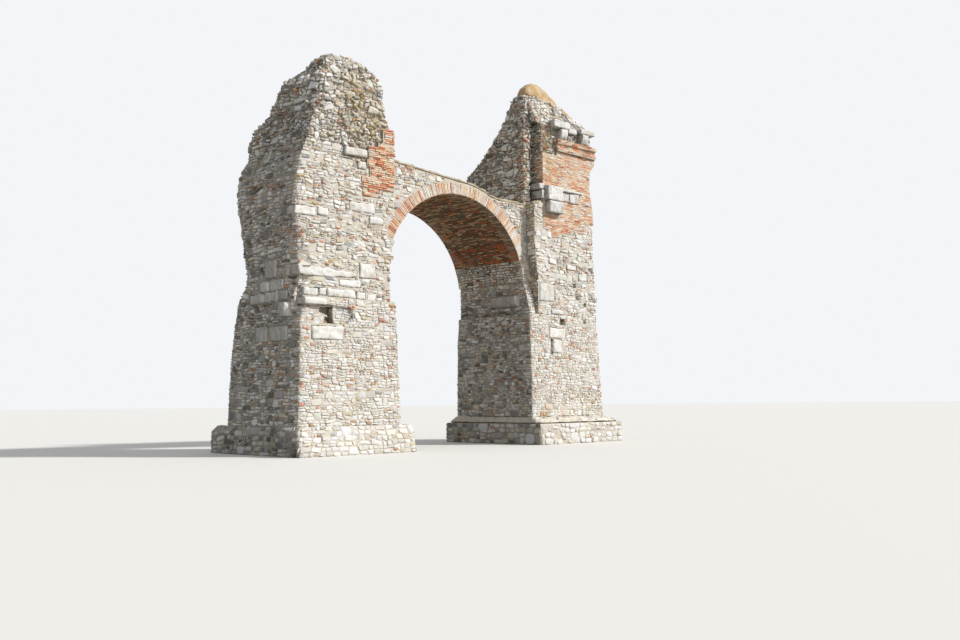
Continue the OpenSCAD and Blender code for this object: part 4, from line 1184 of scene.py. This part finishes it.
class Paint:
    """A material and short calls for its nodes."""

    def __init__(self, name, roughness=0.9):
        self.material = bpy.data.materials.new(name)
        self.material.use_nodes = True
        self.tree = self.material.node_tree
        self.shader = self.tree.nodes["Principled BSDF"]
        self.shader.inputs["Roughness"].default_value = roughness
        self.shader.inputs["Specular IOR Level"].default_value = 0.25
        self.place = self.tree.nodes.new("ShaderNodeTexCoord").outputs["Object"]

    def join(self, node, links):
        """Links or sets a node's inputs by name or number."""
        for key, value in links.items():
            if isinstance(value, bpy.types.NodeSocket):
                self.tree.links.new(value, node.inputs[key])
            else:
                node.inputs[key].default_value = value
        return node

    def noise(self, scale, detail=4.0, rough=0.6, warp=0.0, stretch=(1, 1, 1), at=(0, 0, 0)):
        """Noise over Object coordinates, from about 0.3 to 0.7."""
        mapping = self.join(self.tree.nodes.new("ShaderNodeMapping"),
                            {"Vector": self.place, "Scale": stretch, "Location": at})
        node = self.tree.nodes.new("ShaderNodeTexNoise")
        self.join(node, {"Vector": mapping.outputs[0], "Scale": scale, "Detail": detail,
                         "Roughness": rough, "Distortion": warp})
        return node.outputs["Fac"]

    def cells(self, scale, stretch=(1, 1, 1)):
        """Distance to the nearest of some random points."""
        mapping = self.join(self.tree.nodes.new("ShaderNodeMapping"),
                            {"Vector": self.place, "Scale": stretch})
        node = self.tree.nodes.new("ShaderNodeTexVoronoi")
        self.join(node, {"Vector": mapping.outputs[0], "Scale": scale})
        return node.outputs["Distance"]

    def value(self, name, output="Fac"):
        """A value or colour that the piece holds at each point."""
        node = self.tree.nodes.new("ShaderNodeAttribute")
        node.attribute_name = name
        return node.outputs[output]

    def facing(self, axis):
        """The normal's share along one axis."""
        node = self.tree.nodes.new("ShaderNodeSeparateXYZ")
        self.tree.links.new(self.tree.nodes.new("ShaderNodeNewGeometry").outputs["Normal"],
                            node.inputs[0])
        return node.outputs[axis]

    def spread(self, value, low, high, to_low=0.0, to_high=1.0):
        """A value from low to high stretched to another range, clamped."""
        node = self.tree.nodes.new("ShaderNodeMapRange")
        self.join(node, {"Value": value, "From Min": low, "From Max": high,
                         "To Min": to_low, "To Max": to_high})
        return node.outputs["Result"]

    def sum(self, operation, a, b):
        """One operation on two values."""
        node = self.tree.nodes.new("ShaderNodeMath")
        node.operation = operation
        node.use_clamp = True
        self.join(node, {0: a, 1: b})
        return node.outputs[0]

    def ramp(self, value, stops):
        """Colours at places from 0 to 1."""
        node = self.tree.nodes.new("ShaderNodeValToRGB")
        marks = node.color_ramp.elements
        for k, (place, colour) in enumerate(stops):
            mark = marks[k] if k < 2 else marks.new(place)
            mark.position, mark.color = place, colour
        self.tree.links.new(value, node.inputs[0])
        return node.outputs["Color"]

    def mix(self, share, a, b, blend="MIX"):
        """Colour a with colour b over it, by a share."""
        node = self.tree.nodes.new("ShaderNodeMix")
        node.data_type = "RGBA"
        node.blend_type = blend
        self.join(node, {0: share, 6: a, 7: b})
        return node.outputs[2]

    def finish(self, colour, height, distance, strength=1.0):
        """Sets the colour and a bump whose height is a value times the distance."""
        node = self.tree.nodes.new("ShaderNodeBump")
        self.join(node, {"Height": height, "Distance": distance, "Strength": strength})
        self.tree.links.new(node.outputs[0], self.shader.inputs["Normal"])
        self.tree.links.new(colour, self.shader.inputs["Base Color"])
        return self.material


def darker(colour, share):
    """A colour times a share, with its alpha kept."""
    return (*[c * share for c in colour[:3]], 1.0)


def between(a, b, share):
    """A colour part of the way from one to another."""
    return tuple(x + (y - x) * share for x, y in zip(a, b))


def rubble_material(name, edge=0.42, stain=0.3):
    """Limestone rubble. Over each stone's own colour lie blotches, pits, grime and painted shade
    in streaks, and painted shade along its sides where they sink into the joints."""
    paint = Paint(name)
    grey, brown, tan = colour_of("grey"), colour_of("brown"), colour_of("tan")
    colour = paint.value("tint", "Color")
    blotch = paint.noise(11.0, 5.0, 0.62)
    colour = paint.mix(paint.spread(blotch, 0.42, 0.68, 0.0, stain), colour,
                       between(tan, grey, 0.5), "MULTIPLY")
    fleck = paint.noise(34.0, 3.0, 0.6)
    colour = paint.mix(paint.spread(fleck, 0.60, 0.70, 0.0, 0.5), colour,
                       between(brown, grey, 0.4), "MULTIPLY")
    streak = paint.noise(1.3, 5.0, 0.62, 0.5, stretch=(1, 1, 0.6))
    # grime and painted shade, in streaks
    dirt = paint.sum("MULTIPLY", paint.value("dirt"), paint.spread(streak, 0.3, 0.62, 0.6, 1.0))
    colour = paint.mix(dirt, colour, darker(grey, 0.7), "MULTIPLY")
    # painted shade: darker on each stone's sides and back, from its share of light; edge sets how
    # dark
    side = paint.spread(paint.value("light"), 0.0, 0.85, edge, 0.0)
    colour = paint.mix(side, colour, darker(between(brown, tan, 0.4), 0.8))
    return paint.finish(colour, paint.noise(48.0, 6.0, 0.7), 0.010)


def brick_material(name, lime=0.5):
    """Old brick, with lime in patches, darkening that is strongest under the vault, and painted
    shade on its sides.
    """
    paint = Paint(name)
    brown = colour_of("brown")
    colour = paint.value("tint", "Color")
    burn = paint.noise(16.0, 4.0, 0.6)
    colour = paint.mix(paint.spread(burn, 0.45, 0.68, 0.0, 0.5), colour,
                       between(brown, colour_of("red"), 0.5), "MULTIPLY")
    patch = paint.spread(paint.noise(2.6, 6.0, 0.7, 0.5), 0.50, 0.62, 0.0, lime)
    colour = paint.mix(patch, colour, colour_of("cream"))
    # darker where the brick's darkening value is high, most under the vault
    darkening = paint.sum("MULTIPLY", paint.value("dirt"),
                     paint.spread(paint.noise(1.6, 5.0), 0.3, 0.62, 0.5, 1.0))
    colour = paint.mix(darkening, colour, darker(brown, 0.8), "MULTIPLY")
    # painted shade: darker on each brick's sides, from its share of light
    side = paint.spread(paint.value("light"), 0.0, 0.85, 0.5, 0.0)
    colour = paint.mix(side, colour, darker(brown, 0.65))
    return paint.finish(colour, paint.noise(70.0, 5.0, 0.7), 0.006)


def mortar_material(name, code=None, browned=0.0, deep=0.25, gravel=22.0, height=0.02,
                    shade=0.8):
    """Mortar with gravel in it, with painted shade in its hollows and painted shade on the sides
    that face away from the front. Without a web colour it takes the user's mortar colour."""
    paint = Paint(name, 0.95)
    brown = colour_of("brown")
    tone = between(linear(code) if code else colour_of("mortar"), brown, browned)
    pebble = paint.cells(gravel)
    blotch = paint.noise(3.2, 7.0, 0.68)
    colour = paint.ramp(paint.spread(blotch, 0.3, 0.7), [
        (0.0, darker(tone, 0.62)), (0.4, darker(tone, 0.94)),
        (1.0, between(tone, colour_of("cream"), 0.5))])
    # painted shade: the mortar is darker towards the hollows of its gravel
    colour = paint.mix(paint.spread(pebble, 0.3, 0.8, 0.0, deep), colour, darker(brown, 0.6))
    speck = paint.noise(60.0, 3.0, 0.7)
    colour = paint.mix(paint.spread(speck, 0.58, 0.72, 0.0, 0.45), colour, darker(brown, 0.9),
                       "MULTIPLY")
    # painted shade: darker on the sides that face away from the front, as strong as shade
    away = paint.spread(paint.facing("Y"), -0.9, 0.1, 0.0, shade)
    colour = paint.mix(away, colour, darker(colour_of("grey"), 0.7), "MULTIPLY")
    fine = paint.noise(38.0, 6.0, 0.7)
    return paint.finish(colour, paint.sum("MULTIPLY", fine, pebble), height)


def ashlar_material(name, code, darkening=0.5):
    """Worn limestone blocks: grey-white, with pits, rain streaks and yellow-brown stains, and
    painted shade on the sides that face away from the front.
    """
    paint = Paint(name, 0.85)
    brown = colour_of("brown")
    tone = linear(code)
    blotch = paint.noise(3.4, 7.0, 0.65)
    colour = paint.ramp(paint.spread(blotch, 0.3, 0.7), [
        (0.0, darker(tone, 0.72)), (0.4, darker(tone, 0.98)),
        (1.0, between(tone, colour_of("white"), 0.7))])
    streak = paint.spread(paint.noise(7.0, 5.0, 0.65, stretch=(1, 1, 0.3)), 0.5, 0.72, 0.0, darkening)
    colour = paint.mix(streak, colour, darker(colour_of("grey"), 0.6), "MULTIPLY")
    stain = paint.spread(paint.noise(1.9, 5.0, 0.6, at=(5, 2, 1)), 0.50, 0.68, 0.0, 0.6)
    colour = paint.mix(stain, colour, colour_of("tan"), "MULTIPLY")
    pits = paint.spread(paint.cells(26.0), 0.0, 0.32, 0.0, 1.0)
    colour = paint.mix(paint.spread(pits, 0.0, 0.6, 0.4, 0.0), colour, darker(brown, 0.7))
    # painted shade: darker on the sides that face away from the front
    away = paint.spread(paint.facing("Y"), -0.8, 0.2, 0.0, 0.75)
    colour = paint.mix(away, colour, darker(colour_of("grey"), 0.6), "MULTIPLY")
    bright = paint.tree.nodes.new("ShaderNodeCombineColor")
    value = paint.value("brightness")
    paint.join(bright, {0: value, 1: value, 2: value})
    colour = paint.mix(1.0, colour, bright.outputs[0], "MULTIPLY")
    grain = paint.sum("MULTIPLY", pits, paint.noise(30.0, 6.0, 0.7))
    return paint.finish(colour, grain, 0.012)


# How each material is made, and its settings
FINISHES = {
    "Facing rubble": (rubble_material, {}),
    "Core rubble": (rubble_material, {"edge": 0.6, "stain": 0.35}),
    "Orange brick": (brick_material, {"lime": 0.35}),
    "Salmon brick": (brick_material, {"lime": 0.6}),
    "Soffit brick": (brick_material, {"lime": 0.12}),
    "Cut limestone": (ashlar_material, {"code": "#f6f2ea", "darkening": 0.3}),
    "Grey limestone": (ashlar_material, {"code": "#e9e6df", "darkening": 0.4}),
    "Pale mortar": (mortar_material, {}),
    "Core mortar": (mortar_material, {"browned": 0.2, "deep": 0.8, "gravel": 11.0,
                                      "height": 0.03}),
    "Lime joints": (mortar_material, {"code": "#dccbb0", "deep": 0.15, "gravel": 40.0,
                                      "height": 0.012}),
    "Soffit joints": (mortar_material, {"code": "#8b7052", "deep": 0.4, "gravel": 34.0,
                                        "height": 0.015}),
    "Cap mortar": (mortar_material, {"code": "#d0ac78", "deep": 0.12, "gravel": 30.0,
                                     "shade": 0.25}),
    "Cream mortar": (mortar_material, {"code": "#eee4d2", "deep": 0.2, "gravel": 16.0,
                                       "shade": 0.35}),
    "Deck mortar": (mortar_material, {"code": "#c9b697", "deep": 0.15, "gravel": 30.0,
                                      "shade": 0.2}),
}

# Material and slot of the masses that stay in view
MASS_FINISHES = (
    ("Pale mortar", "rubble_left", ("left_lower_shaft", "left_upper_shaft", "left_spandrel")),
    ("Pale mortar", "rubble_right", ("right_plinth", "right_lower_shaft", "right_upper_shaft",
                                     "right_spandrel")),
    ("Core mortar", "core_rubble", ("left_core", "right_core")),
    ("Soffit joints", "core_rubble", ("vault_crown",)),
    ("Soffit joints", "brick", ("vault_left", "vault_right")),
    ("Lime joints", "brick", ("front_arch_ring", "back_arch_ring", "left_brick_quoin",
                              "right_brick_facing", "right_brick_course")),
)


def get_material(name):
    """The named material, made at its first use."""
    make, settings = FINISHES[name]
    return bpy.data.materials.get(name) or make(name, **settings)


# Steps


class ARCH_OT_masses(bpy.types.Operator):
    """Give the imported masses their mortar"""

    bl_idname = "arch.masses"
    bl_label = "Mortar of the masses"

    def execute(self, context):
        for material, slot, names in MASS_FINISHES:
            for name in names:
                finish_node(name, get_material(material))
        return {"FINISHED"}


class ARCH_OT_blocks(bpy.types.Operator):
    """Wear the cut blocks and the smoothed mortar"""

    bl_idname = "arch.blocks"
    bl_label = "Cut blocks and smoothed mortar"

    def execute(self, context):
        seed = context.scene.arch_rubble.seed
        stone, grey = get_material("Cut limestone"), get_material("Grey limestone")
        for k, name in enumerate(LEFT_BLOCKS + RIGHT_BLOCKS):
            worn(name, stone, seed + k)
        for k, name in enumerate(CORNICE_BLOCKS):
            worn(name, grey, seed + 40 + k, CORNICE_VOXEL)
        for name, kind in (("right_mortar_cap", "Cap mortar"),
                           ("right_weathering", "Cream mortar"), ("deck_mortar", "Deck mortar")):
            worn(name, get_material(kind), seed + 60, MORTAR_VOXEL, MORTAR_WEAR)
        return {"FINISHED"}


class ARCH_OT_left_rubble(bpy.types.Operator):
    """Lay the rubble of the left pier"""

    bl_idname = "arch.left_rubble"
    bl_label = "Left pier rubble"

    def execute(self, context):
        seed = context.scene.arch_rubble.seed
        face = get_material("Facing rubble")
        core = get_material("Core rubble")
        plinth = corners_of("left_plinth")
        plinth[0][1] -= PLINTH_FORWARD
        mortar = get_material("Pale mortar")
        points, faces = solids("left_plinth")[0]
        copy = make_piece("drawn_left_plinth", points, faces, {}, mortar)
        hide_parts("left_plinth")
        base = Skin(["left_plinth"], LEFT_PLINTH_AXIS, 0.0, plinth[1][2])
        rubble("left_plinth_stones", base, 0.0, plinth[1][2], seed,
               stone_bond(cell=0.42, ratio=(1.3, 2.6)),
               stone_form(bevel=(0.01, 0.03), rough=0.1), ["left_plinth"], face)
        ledge = Roof(["left_plinth", "left_lower_shaft"], plinth[0], plinth[1])
        rubble("left_plinth_top", ledge, 0.0, plinth[1][1] - plinth[0][1], seed + 5,
               stone_bond(), stone_form(proud=(0.0, 0.02)), ["left_plinth"], face)
        names = LEFT_MASSES + LEFT_BLOCKS + ["left_brick_quoin"]
        pier = Skin(names, LEFT_PIER_AXIS, plinth[1][2], LEFT_CORE[1][2])
        rubble("left_lower_stones", pier, plinth[1][2], LEDGE_Z, seed + 1,
               stone_bond(band=0.205, cell=0.31), stone_form(), LEFT_MASSES, face)
        rubble("left_upper_stones", pier, LEDGE_Z, LEFT_BARE_Z, seed + 2,
               stone_bond(band=0.215, cell=0.32, missing=0.015, wave=0.10, ratio=(1.7, 3.2),
                          layers=layer_choice(0.08, 0.50, 0.38, 0.04)),
               stone_form(proud=(0.0, 0.05), slope=8, tilt=5, bevel=(0.008, 0.022),
                          sway=0.012), LEFT_MASSES, face)
        bare = stone_bond(band=0.205, cell=0.26, spread=0.42, wave=0.14, missing=0.06,
                          ratio=(1.2, 2.4), layers=layer_choice(0.08, 0.62, 0.30, 0.0))
        rubble("left_core_stones", pier, LEFT_BARE_Z, LEFT_CORE[1][2], seed + 3, bare,
               core_form(), LEFT_MASSES, core)
        top = Roof(["left_core"], LEFT_CORE[0], LEFT_CORE[1])
        rubble("left_core_top", top, 0.0, LEFT_CORE[1][1] - LEFT_CORE[0][1], seed + 4, bare,
               core_form(proud=(0.0, 0.08)), ["left_core"], core)
        quoin = corners_of("left_brick_quoin")
        bricks("left_quoin_bricks", pier, quoin[0][2], quoin[1][2], seed + 6,
               brick_form(proud=(-0.005, 0.05), slope=3), ["left_brick_quoin"],
               get_material("Orange brick"), missing=0.05)
        return {"FINISHED"}


class ARCH_OT_right_rubble(bpy.types.Operator):
    """Lay the rubble and the brick facing of the right pier"""

    bl_idname = "arch.right_rubble"
    bl_label = "Right pier rubble"

    def execute(self, context):
        seed = context.scene.arch_rubble.seed + 20
        face = get_material("Facing rubble")
        core = get_material("Core rubble")
        plinth = corners_of("right_plinth")
        base = Skin(["right_plinth"], RIGHT_PLINTH_AXIS, 0.0, plinth[1][2])
        rubble("right_plinth_stones", base, 0.0, plinth[1][2], seed,
               stone_bond(band=0.32, cell=0.42, ratio=(1.2, 2.2), wave=0.09),
               stone_form(bevel=(0.012, 0.035), cut=(0.2, 0.8), cut_across=0.8, rough=0.1,
                          proud=(0.0, 0.045), bulge=0.02), ["right_plinth"], face)
        slope = corners_of("right_weathering")
        foot = slope[1][2]
        rubble("right_slope_stones", Roof(["right_weathering", "right_lower_shaft"], *slope),
               0.0, slope[1][1] - slope[0][1], seed + 9, stone_bond(missing=0.35),
               stone_form(proud=(-0.012, 0.014), slope=3), ["right_weathering"], face)
        names = RIGHT_MASSES + RIGHT_BLOCKS + CORNICE_BLOCKS + BRICK_FACES
        shaft = Skin(names, RIGHT_SHAFT_AXIS, foot, RIGHT_CORE[0][2])
        rubble("right_lower_stones", shaft, foot, LEDGE_Z, seed + 1,
               stone_bond(band=0.195, cell=0.29, ratio=(1.2, 2.6)), stone_form(),
               RIGHT_MASSES, face)
        rubble("right_upper_stones", shaft, LEDGE_Z, RIGHT_CORE[0][2], seed + 2,
               stone_bond(band=0.215, cell=0.34, missing=0.03, wave=0.10),
               stone_form(proud=(0.0, 0.05), slope=8, sway=0.016), RIGHT_MASSES, face)
        top = Skin(names, RIGHT_CORE_AXIS, RIGHT_CORE[0][2], RIGHT_CORE[1][2])
        bare = stone_bond(band=0.215, cell=0.29, spread=0.42, wave=0.12, missing=0.06,
                          ratio=(1.3, 2.8), layers=layer_choice(0.10, 0.60, 0.30, 0.0))
        rubble("right_core_stones", top, RIGHT_CORE[0][2], RIGHT_CORE[1][2], seed + 3, bare,
               core_form(proud=(0.0, 0.08), slope=10, tilt=5), RIGHT_MASSES, core)
        crest = Roof(["right_core", *CORNICE_BLOCKS, *BRICK_FACES, "right_mortar_cap"],
                     RIGHT_CORE[0], RIGHT_CORE[1])
        rubble("right_core_top", crest, 0.0, RIGHT_CORE[1][1] - RIGHT_CORE[0][1], seed + 4,
               bare, core_form(proud=(0.0, 0.06)), ["right_core"], core)
        drape("right_cap_skirt", crest, *CAP_SKIRT, CAP_SKIRT_THICKNESS, seed + 8,
              get_material("Cap mortar"), "mortar")
        salmon = get_material("Salmon brick")
        facing, course = (corners_of(name) for name in BRICK_FACES)
        bricks("right_low_bricks", shaft, facing[0][2], RIGHT_CORE[0][2], seed + 5,
               brick_form(), BRICK_FACES, salmon)
        bricks("right_high_bricks", top, RIGHT_CORE[0][2], facing[1][2], seed + 6,
               brick_form(), BRICK_FACES, salmon)
        bricks("right_course_bricks", top, facing[1][2], course[1][2], seed + 7,
               brick_form(proud=(0.0, 0.03)), BRICK_FACES,
               get_material("Orange brick"))
        return {"FINISHED"}


class ARCH_OT_arch(bpy.types.Operator):
    """Lay the brick rings, the underside of the vault and the wall over the arch"""

    bl_idname = "arch.ring"
    bl_label = "Arch"

    def execute(self, context):
        seed = context.scene.arch_rubble.seed + 40
        salmon = get_material("Salmon brick")
        dark = get_material("Soffit brick")
        face = get_material("Facing rubble")
        middle = (RING_INNER + RING_OUTER) / 2
        small = stone_bond(band=0.19, cell=0.27, ratio=(1.3, 2.6), wave=0.04, missing=0.03)
        foot, start, low, end = (math.radians(v) for v in (
            RING_START, RING_BRICK_START, VAULT_BRICK_START, RING_END))
        for side, y in (("front", RING_LOW[1]), ("back", BACK_RING_Y)):
            bricks(side + "_ring_bricks", Sector(y, side == "front"), start * middle,
                   end * middle, seed, brick_form(proud=(0.004, 0.022)), [], salmon,
                   missing=0.01, length=RING_THICKNESS)
            rubble(side + "_ring_stones", Sector(y, side == "front"), foot * middle,
                   start * middle, seed + 20, small, stone_form(), [], face)
            seed += 1
        vault = Barrel(RING_INNER, RING_LOW[1], BACK_RING_Y)
        rubble("soffit_stones", vault, foot * RING_INNER, low * RING_INNER, seed + 20, small,
               stone_form(), [], face)
        bricks("soffit_bricks", vault, low * RING_INNER, end * RING_INNER, seed,
               brick_form(proud=(0.0, 0.02), slope=2.5), [], dark, missing=0.03)
        for side in ("left", "right"):
            low, high = corners_of(side + "_spandrel")
            for front in (True, False):
                seed += 1
                wall = Wall(low[0] if front else high[0], high[0] - low[0],
                            low[1] if front else high[1], front)
                rubble(f"{side}_{'front' if front else 'back'}_spandrel_stones", wall, low[2],
                       high[2], seed, small, stone_form(proud=(0.0, 0.05), slope=8, tilt=4),
                       [side + "_spandrel"], face)
        return {"FINISHED"}


class ARCH_OT_stage(bpy.types.Operator):
    """Set the floor, the light and the camera"""

    bl_idname = "arch.stage"
    bl_label = "Stage"

    def execute(self, context):
        stage = context.scene.arch_stage
        self.floor()
        self.light(context.scene, stage)
        self.camera(context.scene)
        context.scene.view_settings.view_transform = "Standard"
        return {"FINISHED"}

    def seen(self, tree):
        """A value that is 1 for what the camera, a mirror or glass sees."""
        path = tree.nodes.new("ShaderNodeLightPath")
        seen = path.outputs["Is Camera Ray"]
        for other in ("Is Glossy Ray", "Is Transmission Ray"):
            both = tree.nodes.new("ShaderNodeMath")
            both.operation = "MAXIMUM"
            tree.links.new(seen, both.inputs[0])
            tree.links.new(path.outputs[other], both.inputs[1])
            seen = both.outputs[0]
        return seen

    def floor(self):
        """A round floor, pale to the camera and duller in the light that it throws back."""
        sides, radius = 96, 400
        turn = np.linspace(0, 2 * np.pi, sides, endpoint=False)
        points = np.stack([radius * np.cos(turn), radius * np.sin(turn), np.zeros(sides)], 1)
        mesh = bpy.data.meshes.new("floor")
        mesh.from_pydata(points.tolist(), [], [list(range(sides))])
        floor = bpy.data.objects.new("floor", mesh)
        bpy.context.scene.collection.objects.link(floor)
        paint = Paint("Pale floor")
        colour = paint.mix(self.seen(paint.tree), linear("#999590"), linear("#e6e3dc"))
        paint.tree.links.new(colour, paint.shader.inputs["Base Color"])
        mesh.materials.append(paint.material)

    def light(self, scene, stage):
        """A soft key light from the front right, and light from all round."""
        lamp = bpy.data.lights.new("key", "SUN")
        lamp.energy = stage.key
        lamp.angle = math.radians(5)
        key = bpy.data.objects.new("key", lamp)
        way = Vector((0.50, -0.62, 0.60))
        key.rotation_euler = way.to_track_quat("Z", "Y").to_euler()
        scene.collection.objects.link(key)
        world = bpy.data.worlds.new("studio")
        scene.world = world
        world.use_nodes = True
        tree = world.node_tree
        light = tree.nodes["Background"]
        light.inputs["Color"].default_value = linear("#f3f8ff")
        light.inputs["Strength"].default_value = stage.fill
        shown = tree.nodes.new("ShaderNodeBackground")
        shown.inputs["Color"].default_value = linear("#f3f5f8")
        shown.inputs["Strength"].default_value = 1.0
        choice = tree.nodes.new("ShaderNodeMixShader")
        tree.links.new(self.seen(tree), choice.inputs[0])
        tree.links.new(light.outputs[0], choice.inputs[1])
        tree.links.new(shown.outputs[0], choice.inputs[2])
        tree.links.new(choice.outputs[0], tree.nodes["World Output"].inputs[0])

    def camera(self, scene):
        """The photograph's viewpoint, worked out from the arch's curve in it. The focal
        length is in pixels of the 960 pixel wide picture."""
        focal_px, wide_px, sensor = 1006.7, 960, 36.0
        eye = (-24.656, -28.013, 1.629)
        yaw, pitch, roll = (math.radians(v) for v in (44.078, 4.627, -0.535))
        ahead = Vector((math.sin(yaw) * math.cos(pitch), math.cos(yaw) * math.cos(pitch),
                        math.sin(pitch)))
        right = Vector((math.cos(yaw), -math.sin(yaw), 0))
        up = right.cross(ahead)
        right, up = (math.cos(roll) * right + math.sin(roll) * up,
                     -math.sin(roll) * right + math.cos(roll) * up)
        lens = bpy.data.cameras.new("camera")
        lens.sensor_width = sensor
        lens.lens = focal_px / wide_px * sensor
        lens.clip_end = 2000
        camera = bpy.data.objects.new("camera", lens)
        turn = Matrix((right, up, -ahead)).transposed().to_4x4()
        camera.matrix_world = Matrix.Translation(eye) @ turn
        scene.collection.objects.link(camera)
        scene.camera = camera


class ARCH_PT_panel(bpy.types.Panel):
    """Lists the steps and their sizes."""

    bl_label = "Ruined arch"
    bl_idname = "ARCH_PT_panel"
    bl_space_type = "VIEW_3D"
    bl_region_type = "UI"
    bl_category = "Masonry"

    def draw(self, context):
        for group in GROUPS:
            box = self.layout.box()
            values = getattr(context.scene, group)
            for key in values.__annotations__:
                box.prop(values, key)
        for step in STEPS:
            self.layout.operator(step.bl_idname)


GROUPS = {"arch_rubble": RubbleSizes, "arch_brick": BrickSizes, "arch_colours": StoneColours,
          "arch_stage": StageSizes}
STEPS = [ARCH_OT_masses, ARCH_OT_blocks, ARCH_OT_left_rubble, ARCH_OT_right_rubble,
         ARCH_OT_arch, ARCH_OT_stage]


def register():
    """Makes the classes and the scene's sizes known."""
    for cls in (*GROUPS.values(), *STEPS, ARCH_PT_panel):
        bpy.utils.register_class(cls)
    for key, cls in GROUPS.items():
        setattr(bpy.types.Scene, key, PointerProperty(type=cls))


def unregister():
    """Takes them away again."""
    for key in GROUPS:
        delattr(bpy.types.Scene, key)
    for cls in (ARCH_PT_panel, *reversed(STEPS), *reversed(GROUPS.values())):
        bpy.utils.unregister_class(cls)


def main():
    """Registers and builds every piece in order."""
    register()
    for step in STEPS:
        group, call = step.bl_idname.split(".")
        getattr(getattr(bpy.ops, group), call)()


if __name__ == "__main__":
    main()
